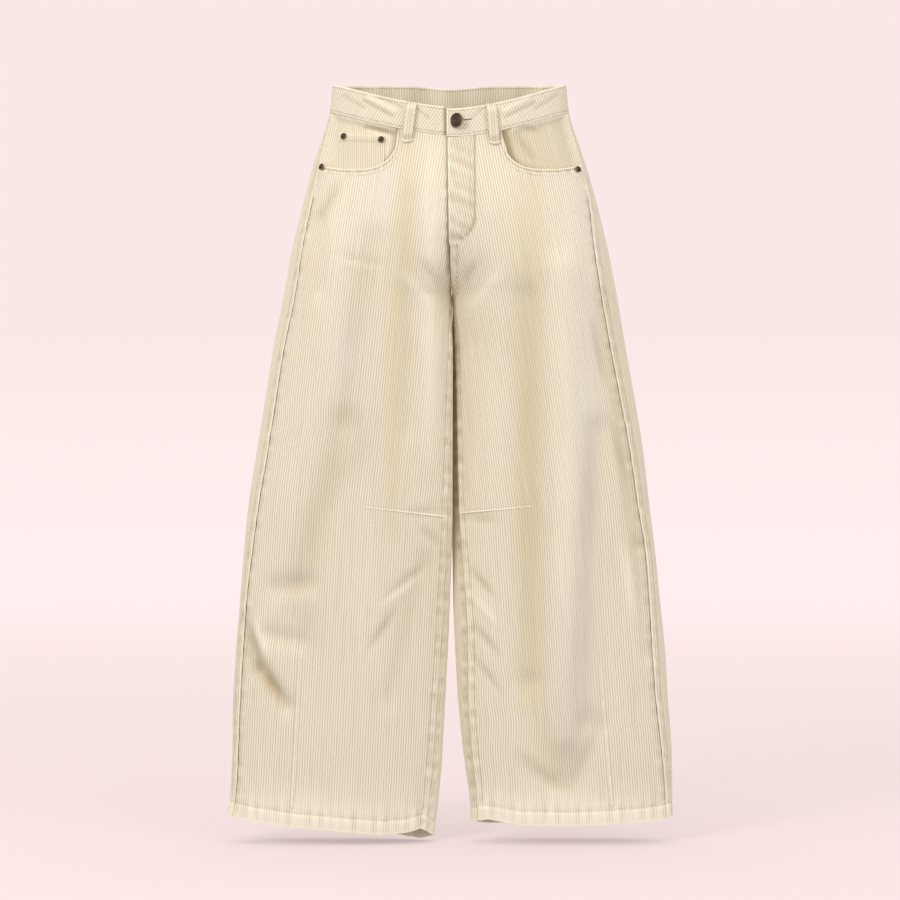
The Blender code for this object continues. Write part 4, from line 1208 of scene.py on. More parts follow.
    def scoop_path(self) -> tuple[Array, Array]:
        """The pocket mouth's edge as points, from the band out to the side."""
        (x0, z0), (x1, z1) = self.scoop_top, self.scoop_low
        angle = np.linspace(0.0, math.pi / 2, 60)
        power = 2 / self.scoop_round
        out = np.linspace(0.0, 1.15, 24)[1:]
        x = np.concatenate([x1 - (x1 - x0) * np.cos(angle) ** power, x1 + self.scoop_tail * out])
        z = np.concatenate([z0 + (z1 - z0) * np.sin(angle) ** power, z1 + self.scoop_rise * out**2])
        return x, z

    def relief(
        self, leg: Leg, face: Face, level: Array, turn: Array, to_side: Array, to_inner: Array,
    ) -> tuple[Array, Array]:
        """How far the cloth stands off its surface, without its cords, and how light that makes it.

        Args:
            leg: The side.
            face: Front or back.
            level: The points' levels.
            turn: Their turns.
            to_side: Their distance from the outer seam.
            to_inner: Their distance from the inner seam, or from the middle above the crotch.

        Returns:
            The height and the lightness at each point.
        """
        x, z, facing = self.surface.at(leg, level, turn).way()
        folds = along_lines(FINE_FOLDS, leg, x, z, facing, "height", 0.75)
        folds = folds * (1.0 if face is FRONT else 0.5)
        broad = along_lines(MAIN_FOLDS, leg, x, z, facing, "height")
        # Fine and main folds, and the puckers below, get a painted highlight on their ridges and painted
        # shade in their troughs.
        out, light = 1.35 * folds * MM, 0.42 * folds + 0.03 * broad
        seed = 1.0 + 2.0 * (leg is L) + 0.7 * (face is BACK)
        ripple = pucker(z, seed) * smooth_step(-z, 100 * MM, 150 * MM)
        closed = (level <= CROTCH_LEVEL).astype(float)
        edge = np.minimum(to_side, to_inner)
        out = out + 0.5 * MM * ripple * bump_at(edge, 0.0, 9.0)
        light = light + 0.40 * ripple * bump_at(edge, 6.0, 5.0)
        light = light + 0.45 * ripple * bump_at(to_inner, 6.0, 5.0) * closed
        parts = [
            self.seam(to_side, face is BACK, 0.0), self.seam(to_inner, face is FRONT, 1.0, closed),
            self.between_legs(leg, face, level, to_inner), self.hem(level, x, seed + 3.0),
        ]
        if face is FRONT:
            parts += [self.fly(leg, x, z), self.pocket_edge(leg, x, z)]
        elif leg is L:
            lap = 0.8 * MM * (1.0 - smooth_step(to_inner, 7.6 * MM, 9.4 * MM))
            parts.append((lap * (1.0 - closed), lines_at(CENTRE_BACK_SEAM, to_inner)[1] * (1.0 - closed)))
        for higher, lighter in parts:
            out, light = out + higher, light + lighter
        return out, light

    @staticmethod
    def seam(
        distance: Array, laps: bool, inner: float, here: Array | float = 1.0,
    ) -> tuple[Array, Array]:
        """A seam's height and painted light and shade, on the panel that laps over or on the one beneath.

        Args:
            distance: How far the points are from the seam.
            laps: Whether the panel lies on top.
            inner: 1 at an inner seam, whose lap is painted lighter, with stronger painted highlight and
                shade, and 0 at an outer one.
            here: 1 where there is such a seam.

        Returns:
            The height and the lightness at each point.
        """
        out, light = lines_at(LAPPED_SEAM if laps else SEAM_UNDERSIDE, distance)
        if laps:
            lap = 1.0 - smooth_step(distance, 7.4 * MM, 9.2 * MM)
            out = out + 0.8 * MM * lap
            light = light * (1.0 + 0.3 * inner) + 0.4 * inner * lap
        return out * here, light * here

    @staticmethod
    def between_legs(leg: Leg, face: Face, level: Array, to_inner: Array) -> tuple[Array, Array]:
        """The fuller cloth where the legs nearly touch, and the shade between them."""
        touching = bump_at(level, -322.0, 22.0) * (1.0 - smooth_step(to_inner, 12 * MM, 40 * MM))
        light = -1.2 * touching * (1.0 - smooth_step(to_inner, 0.0, 14 * MM))
        if face is BACK:
            between = smooth_step(-level, 300 * MM, 420 * MM)
            shade = 1.7 - 1.5 * smooth_step(-level, 540 * MM, 700 * MM) if leg is L else -0.35
            light = light - shade * between * (1.0 - smooth_step(to_inner, 4 * MM, 26 * MM))
        return 0.9 * MM * touching, light

    @staticmethod
    def hem(level: Array, x: Array, seed: float) -> tuple[Array, Array]:
        """The hem's crimped, turned edge and the dent of its stitches, with painted light and shade on them,
        and lighter over the turn.
        """
        above = level - HEM_LEVEL
        turned = bump_at(above, 13.0, 17.0)
        crimp = pucker(x * 1.3, seed)
        out, light = lines_at(HEM_EDGE, above)
        out = out + 1.2 * MM * crimp * turned + 0.6 * MM * smooth_step(-level, 1001 * MM, 1004 * MM)
        return out, light + (0.45 + 0.6 * crimp) * turned

    def pocket_edge(self, leg: Leg, x: Array, z: Array) -> tuple[Array, Array]:
        """The rolled lip of the pocket mouth and the dents of its two rows of stitches, with painted light
        and shade.
        """
        away = self.mouth(leg, x, z)
        ripple = pucker(x * 1.4 + z, 2.0 + (leg is L)) * bump_at(away, 5.0, 4.0)
        out, light = lines_at(POCKET_MOUTH, away)
        rivet = next(rivet for rivet in RIVETS if rivet.node == f"rivet_side_{leg.value}")
        ring = np.hypot(x - leg.sign * rivet.x * MM, z - rivet.z * MM)
        # A painted highlight ring on the cloth round the side rivet.
        return out + 0.45 * MM * ripple, light + 0.40 * ripple + 1.2 * bump_at(ring, 6.0, 1.4)

    def fly(self, leg: Leg, x: Array, z: Array) -> tuple[Array, Array]:
        """The raised fly on the left, the right front sinking beneath it, and the crotch seam, with their
        painted light and shade.
        """
        in_seam = smooth_step(FLY_BOTTOM_Z - 3 * MM - z, 0.0, 3 * MM) * (z > CROTCH_LEVEL)
        if leg is R:
            sink = (BAND_WALL + SEAM_GAP) * (1.0 - smooth_step(-x, *self.lap_slope))
            above = smooth_step(z, FLY_BOTTOM_Z - 30 * MM, FLY_BOTTOM_Z)
            # Painted shadow on the right front beside the middle, under the fly's edge.
            light = -2.6 * bump_at(-x, 1.0, 3.8) * smooth_step(z, CROTCH_LEVEL, FLY_BOTTOM_Z)
            return -sink * above - 2.8 * MM * bump_at(-x, 0.0, 4.0) * in_seam * (1.0 - above), light
        down = np.clip((z - FLY_BOTTOM_Z) / FLY_WIDTH, 0.0, 1.0)
        width = FLY_WIDTH * np.sqrt(1.0 - (1.0 - down) ** 2)
        above = z > FLY_BOTTOM_Z
        inside = smooth_step(width - x, -1.5 * MM, 1.5 * MM) * above
        to_curve = np.where(above, np.abs(width - x), np.hypot(x, z - FLY_BOTTOM_Z) + 2 * MM)
        to_curve = to_curve * np.where(down < 1.0, 0.5, 1.0)
        dent = bump_at(to_curve, 0.0, 1.5) * (x < FLY_WIDTH + 6 * MM)
        inner_row = bump_at(to_curve, 6.0, 0.9) * inside
        wrinkle = pucker(z * 1.1 + 0.5 * x, 5.0) * inside * smooth_step(-z, 70 * MM, 110 * MM)
        out = 1.5 * MM * inside - 1.0 * MM * dent + 0.8 * MM * wrinkle - 0.4 * MM * inner_row
        out = out + 0.9 * MM * smooth_step(9.4 * MM - x, 0.0, 1.8 * MM) * in_seam
        # A painted highlight on the fly's rolled edge, painted shade in the stitch dents, painted light and
        # shade on its wrinkles and beside the crotch seam; the fly is a little darker over all.
        light = 0.9 * bump_at(x, -2.2, 1.8) * above - 1.25 * dent - 0.5 * inner_row + 0.5 * wrinkle
        light = light - 0.32 * inside + in_seam * lines_at(CROTCH_SEAM, x)[1]
        bar = smooth_step(x, -3 * MM, -2 * MM) * smooth_step(12 * MM - x, 0.0, 1.5 * MM)
        bar_out, bar_light = lines_at(FLY_BAR, z)
        for dot_x, dot_z in FLY_DOTS:
            light = light - 1.6 * bump_at(x, dot_x, 1.0) * bump_at(z, dot_z, 1.0)
        return out + bar * bar_out, light + bar * bar_light

    def shades(self, leg: Leg, spots: Spots) -> tuple[Array, Array]:
        """Painted light and shade at points, as warmth and lightness, the warmth partly the pile's lie;
        lighter near the hem.
        """
        x, z, facing = spots.way()
        warmth = along_lines(SHADES, leg, x, z, facing, "warmth", 0.4)
        lightness = along_lines(SHADES, leg, x, z, facing, "lightness", 0.55)
        return 1.05 * warmth, 0.70 * lightness + 0.25 * bump_at(z, -1008.0, 26.0)

    def levels(self) -> Array:
        """The levels of the rows below the pocket, down to the hem."""
        rows = np.arange(self.upper_end, HEM_TOP_LEVEL + 3 * MM, -self.row_step)
        hem = np.array([-999.5, -1001, -1002, -1003, -1005, -1009, -1013, -1017, -1020, -1021.4])
        return np.concatenate([rows[rows > -996 * MM], hem * MM])

    def build(self, leg: Leg, face: Face) -> bpy.types.Object:
        """Makes one panel: its face with cords, its back, and its edges."""
        surface = self.surface
        numbers = np.arange(-self.most_columns, self.most_columns + 1)
        turns = self.column_turns(leg, face, numbers * WALE_STEP)
        tops = self.tops(leg, face, turns)
        shared = self.levels()
        seam_top = PANEL_TOP
        if face is FRONT:
            seam_z = float(self.scoop_z(np.array([self.scoop_end]))[0])
            seam_top = surface.place(leg, self.scoop_end, seam_z)[0]
        rows: list[tuple[Array, float, float]] = []

        def going_down(start: Array | float, depth: float, share: float) -> Array | float:
            """A level below the top edge, and on towards the first of the shared levels."""
            return start - depth + (shared[0] - start + depth) * share

        steps_down = [(d * MM, 0.0) for d in self.near_top]
        steps_down += [(self.near_top[-1] * MM, share) for share in np.linspace(0.0, 1.0, 15)[1:-1]]
        for depth, share in steps_down:
            inner_edge = going_down(PANEL_TOP, depth, share)
            outer_edge = going_down(seam_top, depth, share)
            low, high = (inner_edge, outer_edge) if face is FRONT else (outer_edge, inner_edge)
            rows.append((going_down(tops, depth, share), low, high))
        for level in shared:
            rows.append((np.full(len(numbers), level), level, level))
        low_edges = self.edges(leg, face, np.array([row[1] for row in rows]))[0]
        high_edges = self.edges(leg, face, np.array([row[2] for row in rows]))[1]
        sheet = Sheet()
        outer_rows, inner_rows = [], []
        keep = 0.25 * WALE_STEP
        for r, (own, low_level, high_level) in enumerate(rows):
            place, up = surface.row(own)
            columns = np.arange(len(numbers))
            turn = turns[place, columns] * (1 - up) + turns[place + 1, columns] * up
            middle = float(np.median(own))
            arc = surface.arc_of(leg, middle, turn)
            first = surface.arc_of(leg, low_level, low_edges[r])
            last = surface.arc_of(leg, high_level, high_edges[r])
            valid = (turn > low_edges[r]) & (turn < high_edges[r])
            valid &= (arc > first + keep) & (arc < last - keep)
            picked = np.nonzero(valid)[0]
            key = numbers[picked].astype(float)
            low_key = key[0] - max((arc[picked[0]] - first) / WALE_STEP, 0.3)
            high_key = key[-1] + max((last - arc[picked[-1]]) / WALE_STEP, 0.3)
            keys = np.concatenate([[low_key], key, [high_key]])
            all_turn = np.concatenate([[low_edges[r]], turn[picked], [high_edges[r]]])
            all_level = np.concatenate([[low_level], own[picked], [high_level]])
            all_arc = np.concatenate([[first], arc[picked], [last]])
            to_side, to_inner = last - all_arc, all_arc - first
            if face is BACK:
                to_side, to_inner = to_inner, to_side
            self._add_row(
                sheet, leg, face, keys, all_level, all_turn, (to_side, to_inner), outer_rows, inner_rows,
            )
        self._join(sheet, outer_rows, inner_rows)
        name = f"{face.value}_{leg.value}_cloth"
        return sheet.build(name, self.finish)

    def _add_row(
        self, sheet: Sheet, leg: Leg, face: Face, keys: Array, level: Array, turn: Array,
        edges: tuple[Array, Array], outer_rows: list, inner_rows: list,
    ) -> None:
        """Adds one row of the face and of the back."""
        flat, light = self.relief(leg, face, level, turn, *edges)
        roll = self.seam_roll * hump(np.minimum(*edges), 0.0, self.roll_width)
        wales = keys / STEPS_A_WALE
        spots = self.surface.at(leg, level, turn, flat + cords(wales, self.cord_relief) - roll)
        warmth, lightness = self.shades(leg, spots)
        lightness = lightness + light
        pile = 1.0 - self.brushed * np.clip(-warmth, 0.0, 1.0)
        marks = {"u": wales, "v": level / WALE_PITCH, "warmth": warmth, "lightness": lightness}
        outer_rows.append((sheet.add(spots.points, pile=pile, **marks), keys))
        pick = np.nonzero(np.isclose(keys % STEPS_A_WALE, 0.0))[0]
        pick = np.unique(np.concatenate([[0], pick, [len(keys) - 1]]))
        wall = np.where(level <= HEM_TOP_LEVEL, HEM_WALL, WALL)
        inner = self.surface.at(leg, level, turn, flat - wall)
        inside = {key: value[pick] for key, value in marks.items()}
        hem = (level <= HEM_TOP_LEVEL)[pick].astype(float)
        inner_rows.append((sheet.add(inner.points[pick], pile=hem, **inside), keys[pick]))

    @staticmethod
    def _join(sheet: Sheet, outer_rows: list, inner_rows: list) -> None:
        """Joins the rows into a closed wall."""
        for (a, ka), (b, kb) in zip(outer_rows, outer_rows[1:]):
            sheet.zip_rows(a, ka, b, kb)
        for (a, ka), (b, kb) in zip(inner_rows, inner_rows[1:]):
            sheet.zip_rows(b, kb, a, ka)
        for (a, b), (c, d) in zip(zip(outer_rows, outer_rows[1:]), zip(inner_rows, inner_rows[1:])):
            for side in (0, -1):
                quad = (a[0][side], b[0][side], d[0][side], c[0][side])
                sheet.faces.append(quad if side == 0 else quad[::-1])
        sheet.zip_rows(inner_rows[0][0], inner_rows[0][1], outer_rows[0][0], outer_rows[0][1])
        sheet.zip_rows(outer_rows[-1][0], outer_rows[-1][1], inner_rows[-1][0], inner_rows[-1][1])


def slab(sheet: Sheet, outer: Array, inner: Array, marks: dict[str, Array | float]) -> None:
    """Adds a closed wall between two grids of points of the same size.

    Args:
        sheet: The mesh it goes into.
        outer: The face's points, by row and column.
        inner: The back's points.
        marks: What the points carry. The back has no pile.
    """
    shape = outer.shape[:2]
    full = {key: np.broadcast_to(value, shape).ravel() for key, value in marks.items()}
    a = sheet.add(outer, **full).reshape(shape)
    b = sheet.add(inner, **{**full, "pile": 0.0}).reshape(shape)
    sheet.grid(a)
    sheet.grid(b, flip=True)
    rows, columns = shape
    ring = [(i, 0) for i in range(rows)] + [(rows - 1, j) for j in range(1, columns)]
    ring += [(i, columns - 1) for i in range(rows - 2, -1, -1)] + [(0, j) for j in range(columns - 2, 0, -1)]
    for one, two in zip(ring, ring[1:] + ring[:1]):
        sheet.faces.append((a[one], b[one], b[two], a[two]))


@dataclass
class PocketMaker:
    """The pocket facings and the coin pocket."""

    panels: PanelMaker
    finish: bpy.types.Material
    wall: float = 1.5 * MM
    facing_inner_x: float = 60 * MM
    facing_bottom: tuple[float, float] = (110 * MM, -138 * MM)
    facing_middle: float = -90 * MM
    coin_outer_x: float = 154 * MM
    coin_inner_x: float = 90 * MM
    coin_top_z: tuple[float, float] = (-75 * MM, -69.3 * MM)
    coin_bottom_z: float = -134 * MM
    cord_relief: float = 0.36 * MM

    def facing_shift(self, leg: Leg, level: Array, turn: Array, points: Array) -> Array:
        """How far a facing lies in: under the front, and flush at the band and the side seam."""
        surface = self.panels.surface
        deep = WALL + 2 * LAYER_GAP + (self.wall if leg is R else 0.2 * MM)
        to_side = np.empty_like(level)
        for i, own in enumerate(level[:, 0]):
            seam = surface.arc_of(leg, own, float(surface.seam_turn(leg, own, False)))
            to_side[i] = seam - surface.arc_of(leg, own, turn[i])
        near_side = 1.0 - smooth_step(to_side, 1 * MM, 14 * MM)
        near_band = smooth_step(level, -BAND_HEIGHT - 9 * MM, -BAND_HEIGHT - 1 * MM)
        (x0, z0), (x1, z1) = self.panels.scoop_top, self.panels.scoop_low
        inward = np.maximum(0.0, (x1 - np.abs(points[..., 0])) / (x1 - x0))
        down = np.maximum(0.0, (z0 - points[..., 2]) / (z0 - z1))
        power = self.panels.scoop_round
        reach = (inward**power + down**power) ** (1 / power)
        beside = near_side * (1.0 - smooth_step(reach, 0.86, 0.985))
        above = near_band * (1.0 - smooth_step(reach, 0.68, 0.86))
        return -deep * (1.0 - np.maximum(beside, above))

    def facing(self, leg: Leg) -> bpy.types.Object:
        """Makes the cloth seen inside one pocket mouth."""
        surface = self.panels.surface
        middle = self.facing_middle
        inner_turn = surface.place(leg, self.facing_inner_x, middle)[1]
        low = surface.place(leg, *self.facing_bottom)[0]
        levels = np.linspace(PANEL_TOP, low, 36)
        side = float(surface.seam_turn(leg, middle, False))
        ends = surface.arc_of(leg, middle, np.array([inner_turn, side]))
        columns = int((ends[1] - ends[0]) / WALE_STEP)
        across = np.linspace(0.0, 1.0, columns)
        turn = np.empty((len(levels), columns))
        for i, level in enumerate(levels):
            seam = float(surface.seam_turn(leg, level, False))
            last = float(surface.turn_of(leg, level, surface.arc_of(leg, level, seam) - SEAM_GAP))
            turn[i] = inner_turn + (last - inner_turn) * across
        level = np.repeat(levels[:, None], columns, axis=1)
        base = surface.at(leg, level, turn).points
        shift = self.facing_shift(leg, level, turn, base)
        fold = along_lines(FACING_FOLDS, leg, base[..., 0], base[..., 2], -1.0, "height") * MM
        shift = shift + fold * (shift < -1 * MM)
        wales = across * columns / STEPS_A_WALE
        outer = surface.at(leg, level, turn, shift + cords(wales, self.cord_relief))
        inner = surface.at(leg, level, turn, shift - self.wall)
        x, z = outer.points[..., 0], outer.points[..., 2]
        warmth, lightness = self.panels.shades(leg, outer)
        deep = np.clip(-shift / (4 * MM), 0.0, 1.0)
        steep = smooth_step(132 * MM - np.abs(x), 0.0, 40 * MM)
        edge_shade = bump_at(-self.panels.mouth(leg, x, z), 0.0, 5.0) * (0.25 + 0.75 * steep)
        # Painted light and shade on the facing's folds, painted shade under the mouth's edge and deeper in,
        # where it is also painted warmer.
        lightness = lightness + along_lines(FACING_SHADES, leg, x, z, -1.0, "lightness", 0.4)
        lightness = lightness - 1.1 * edge_shade - (0.05 if leg is R else 0.65) * deep
        sheet = Sheet()
        slab(sheet, outer.points, inner.points, {
            "u": wales, "v": level / WALE_PITCH, "warmth": warmth + 0.35 * deep, "lightness": lightness,
            "pile": 1.0,
        })
        return sheet.build(f"pocket_facing_{leg.value}_cloth", self.finish)

    def coin_place(self, u: Array, v: Array) -> tuple[Array, Array]:
        """X and Z of a point of the coin pocket, from its inner top corner."""
        x = self.coin_inner_x + (self.coin_outer_x - self.coin_inner_x) * u
        top = self.coin_top_z[0] + (self.coin_top_z[1] - self.coin_top_z[0]) * u
        return x, top + (self.coin_bottom_z - top) * v

    def coin(self) -> bpy.types.Object:
        """Makes the coin pocket, with its doubled top edge."""
        surface = self.panels.surface
        width = self.coin_outer_x - self.coin_inner_x
        columns = int(width * 1.18 / WALE_STEP)
        coarse_u, coarse_v = np.linspace(0, 1, 13), np.linspace(0, 1, 9)
        spots = np.array([
            [surface.place(R, *(float(w) for w in self.coin_place(u, v))) for u in coarse_u]
            for v in coarse_v
        ])
        u = np.linspace(0, 1, columns)
        v = np.concatenate([[0, 0.012, 0.03, 0.1, 0.135, 0.15, 0.165, 0.2], np.linspace(0.25, 1, 17)])
        fine = np.array([[np.interp(u, coarse_u, row[:, k]) for row in spots] for k in (0, 1)])
        level, turn = (
            np.column_stack([np.interp(v, coarse_v, fine[k][:, j]) for j in range(columns)])
            for k in (0, 1)
        )
        uu, vv = np.meshgrid(u, v)
        down = vv * 60 * MM
        side_out, side_light = lines_at(COIN_SIDE, np.minimum(uu, 1.0 - uu) * width)
        top_out, top_light = lines_at(COIN_TOP, down)
        doubled = 0.5 * MM * (1.0 - smooth_step(down, 9 * MM, 11 * MM))
        wales = uu * columns / STEPS_A_WALE
        base = -WALL - LAYER_GAP
        relief = side_out + top_out + doubled + cords(wales, self.cord_relief)
        outer = surface.at(R, level, turn, base + relief)
        inner = surface.at(R, level, turn, base - self.wall)
        sheet = Sheet()
        # Painted highlights on the edges, painted shade in the stitch dents, and painted shade over the whole
        # pocket inside the mouth.
        slab(sheet, outer.points, inner.points, {
            "u": wales, "v": level / WALE_PITCH, "warmth": 0.12, "lightness": side_light + top_light - 0.4,
            "pile": 1.0,
        })
        return sheet.build("coin_pocket_cloth", self.finish)


BAND_FOLDS = (
    Fold(R, FRONT, -118, -27, -80, -49, 2.6, -1.5),
    Fold(R, FRONT, -112, -23, -76, -42, 3.2, 1.1),
    Fold(R, FRONT, -96, -23, -66, -37, 2.4, -1.0),
    Fold(R, FRONT, -148, -18, -120, -36, 3.4, -0.9),
    Fold(R, FRONT, -58, -30, -30, -52, 2.6, -0.9),
    Fold(L, FRONT, 78, -50, 116, -30, 2.8, -1.3),
    Fold(L, FRONT, 74, -42, 108, -24, 3.2, 0.9),
    Fold(L, FRONT, 118, -38, 148, -18, 3.2, -0.9),
    Fold(L, FRONT, 26, -56, 52, -34, 2.8, -0.8),
)


@dataclass
class WaistMaker:
    """The waistband and its belt loops."""

    panels: PanelMaker
    finish: bpy.types.Material
    cut_radius: float = 606 * MM
    over: float = 5 * MM
    under: float = 28 * MM
    lift: float = 2.0 * MM
    underlap_drop: float = 2.6 * MM
    loop_width: float = 12.5 * MM
    loop_wall: float = 2.2 * MM
    loop_slack: float = 5.2 * MM
    loop_drop: float = 18 * MM
    column_step: float = 0.95 * MM
    cord_relief: float = 0.34 * MM
    loop_cord_relief: float = 0.3 * MM
    loop_wales: float = 1.75
    buttonhole: tuple[float, float, float] = (17 * MM, 30 * MM, -16.5 * MM)

    def spot(self, s: Array) -> list[tuple[Leg, float, float]]:
        """Where a length round from the centre back lies.

        Args:
            s: Lengths, falling on the wearer's right and rising on the left.

        Returns:
            The side, the turn and how far the band sinks there, for each.
        """
        surface, half = self.panels.surface, -BAND_HEIGHT / 2
        whole = {leg: float(surface.arc_of(leg, half, 1.0)) for leg in Leg}
        spots = []
        for own in s:
            leg = R if own < 0.0 else L
            arc = whole[leg] - abs(own)
            turn = float(surface.turn_of(leg, half, arc))
            if leg is R:
                x = -float(surface.at(leg, half, max(turn, 0.0)).points[0]) if turn < 0.5 else 1.0
                sink = (BAND_WALL + SEAM_GAP) * (1.0 - float(smooth_step(x, *self.panels.lap_slope)))
            else:
                sink = -self.lift * (1.0 - float(smooth_step(arc, 0.0, 24 * MM)))
            spots.append((leg, turn, sink))
        return spots

    def ends(self) -> tuple[float, float]:
        """The lengths from the centre back to the band's right and left end."""
        surface, half = self.panels.surface, -BAND_HEIGHT / 2
        right, left = (float(surface.arc_of(leg, half, 1.0)) for leg in Leg)
        return -(right + self.under), left + self.over

    def band(self) -> bpy.types.Object:
        """Makes the band, cut on a curve, so that its cords lean where it comes round to the front."""
        first, last = self.ends()
        s = np.linspace(first, last, int((last - first) / self.column_step))
        spots = self.spot(s)
        levels = np.concatenate([[0.0, -0.5, -1.3, -2.2, -3.1], np.arange(-4.2, -34.6, -1.1),
                                 [-35.4, -36.2, -37.1, -38.0, -38.65]]) * MM
        section = [(0.35 * MM, "rim")] + [(v, "outer") for v in levels]
        section += [(-BAND_HEIGHT + 0.1 * MM, "rim")] + [(v, "inner") for v in levels[::-1]]
        sheet = Sheet()
        loops = [self._band_row(sheet, s, spots, level, kind) for level, kind in section]
        numbers = np.array(loops + loops[:1])
        sheet.grid(numbers)
        sheet.faces.append(tuple(numbers[:-1, 0]))
        sheet.faces.append(tuple(numbers[:-1, -1][::-1]))
        return sheet.build("waistband_cloth", self.finish)

    def _band_row(
        self, sheet: Sheet, s: Array, spots: list[tuple[Leg, float, float]], level: float, kind: str,
    ) -> Array:
        """Adds one row round the band.

        Args:
            sheet: The mesh it goes into.
            s: The points' lengths round from the centre back.
            spots: Their sides, turns and how far the band sinks there.
            level: The row's level.
            kind: Whether it is on the outer face, the inner face or the rim between them.

        Returns:
            The numbers of the row's points.
        """
        on_left = np.array([leg is L for leg, _, _ in spots])
        turn, sink = (np.array([spot[k] for spot in spots]) for k in (1, 2))
        from_edge = min(max(-level, 0.0), max(BAND_HEIGHT + level, 0.0))
        wales = (self.cut_radius - (level + BAND_HEIGHT / 2)) * np.sin(s / self.cut_radius) / WALE_PITCH
        pile = cords(wales, self.cord_relief)
        out = np.full(len(s), BAND_PROUD - BAND_WALL / 2)
        if kind == "outer":
            ripple = 0.35 * MM * pucker(s, 2.0) * bump_at(from_edge, 0.0, 6.0)
            out = BAND_PROUD + pile + lines_at(BAND_EDGE, from_edge)[0] + ripple
        elif kind == "inner":
            out = BAND_PROUD - BAND_WALL - pile + 0.5 * MM * bump_at(from_edge, 0.0, 1.0)
        row, bend = np.empty((len(s), 3)), np.empty(len(s))
        for leg in Leg:
            mask = on_left == (leg is L)
            own = self.panels.surface.at(leg, level, turn[mask])
            bend[mask] = along_lines(BAND_FOLDS, leg, *own.way(), "height")
            total = out[mask] - sink[mask] + bend[mask] * MM
            row[mask] = own.points + own.normals * total[:, None]
            if leg is R:
                row[mask, 2] -= self.underlap_drop * smooth_step(-turn[mask], 0.0, 0.004)
        # Painted light and shade on the band's folds, a painted highlight on its top lip and painted shade in
        # its stitch dents.
        dent = (0.95 + 0.45 * pucker(s, 1.0)) * bump_at(from_edge, 3.2, 1.0)
        light = 0.55 * bend + 0.7 * bump_at(from_edge, 1.1, 1.1) - dent
        if kind == "outer":
            # Painted shadow on the underlap beneath the band's end, and painted shadow in the buttonhole's
            # slit.
            under = smooth_step(self.over + 7 * MM - (s - s[0] - self.under), 0.0, 6 * MM)
            light = light + lines_at(BAND_END, s[-1] - s)[1] - 1.9 * under * ~on_left
            start, end, middle = self.buttonhole
            slit = smooth_step(row[:, 0], start - MM, start + MM)
            slit = slit * smooth_step(end + MM - row[:, 0], 0.0, 2 * MM) * on_left * (turn < 0.25)
            light = light + slit * lines_at(BUTTONHOLE, level - middle)[1]
        elif kind == "inner":
            # The band's inside is painted darker, as shade, with painted light and shade on its puckers.
            light = light - 0.35 + 0.5 * pucker(s * 0.4, 4.0)
        return sheet.add(row, u=wales, v=level / WALE_PITCH, lightness=light, pile=1.0)

    def by_x(self, leg: Leg, level: float, x: float, face: Face) -> float:
        """The turn at a distance from the middle, on the front or the back."""
        turns = self.panels.surface.way_out(face)
        reach = np.abs(self.panels.surface.at(leg, level, turns).points[:, 0])
        return float(np.interp(x, np.maximum.accumulate(reach), turns))

    def loop(self, name: str, leg: Leg, face: Face, top_x: float, low_x: float) -> bpy.types.Object:
        """Makes one belt loop, with cords along it and its end folded under.

        Args:
            name: The loop's name.
            leg: Its side.
            face: Front or back.
            top_x: How far its top lies from the middle, in mm.
            low_x: How far its lower end does.

        Returns:
            The loop.
        """
        surface = self.panels.surface
        lower = -BAND_HEIGHT - self.loop_drop
        shares = np.concatenate([np.linspace(0.0, 0.93, 34), np.linspace(0.942, 1.0, 8)])
        across = np.linspace(-1.0, 1.0, 17)
        wales = across * self.loop_wales + 0.5
        outer, inner = [], []
        for share in shares:
            level = share * lower
            turn = self.by_x(leg, level, (top_x + (low_x - top_x) * share) * MM, face)
            spot = surface.at(leg, level, turn)
            sideways = np.cross(spot.normals, (0.0, 0.0, 1.0))
            sideways /= np.linalg.norm(sideways)
            lift = self.loop_slack * float(smooth_step(math.sin(math.pi * share), 0.12, 0.62))
            gap = BAND_PROUD + SEAM_GAP + lift
            fold = (1.5 * hump(share, 0.965, 0.022) - 0.7 * hump(share, 0.915, 0.014)) * MM
            wide = self.loop_width / 2 * (1.02 + 0.12 * hump(share, 0.97, 0.03))
            crown = self.loop_wall - 0.9 * MM * np.abs(across) ** 6 + fold
            crown = crown - 0.35 * MM * hump(np.abs(across), 0.72, 0.09) + cords(wales, self.loop_cord_relief)
            sag = 1.8 * MM * float(smooth_step(share, 0.88, 0.97)) * (0.5 - across**2)
            side = across[:, None] * wide * sideways - sag[:, None] * np.array((0.0, 0.0, 1.0))
            outer.append(spot.points + side + (gap + crown)[:, None] * spot.normals)
            inner.append(spot.points + side + gap * spot.normals)
        along = shares[:, None]
        # Painted highlights on the loop's edges and folded end, painted shade under the fold, and the loop a
        # little darker over all.
        light = np.abs(across) ** 5 + 0.9 * hump(along, 0.972, 0.02)
        light = light - 0.9 * hump(along, 0.925, 0.014) - 0.3
        sheet = Sheet()
        slab(sheet, np.array(outer), np.array(inner), {
            "u": wales, "v": along * 15.0, "warmth": 0.05, "lightness": light, "pile": 1.0,
        })
        return sheet.build(name + "_cloth", self.finish)


@dataclass(frozen=True)
class Dart:
    """A dart's name and side, its wide end and its point as X and Z, and its width, in mm."""

    name: str
    leg: Leg
    start: tuple[float, float]
    end: tuple[float, float]
    width: float


DARTS = (
    Dart("knee_dart_right", R, (2, -599.5), (116, -585.5), 6.0),
    Dart("knee_dart_left", L, (14, -594.5), (115, -584), 6.0),
    Dart("hem_dart_right", R, (219, -1000), (205, -770), 6.5),
    Dart("hem_dart_left", L, (224, -998), (207, -805), 6.5),
)


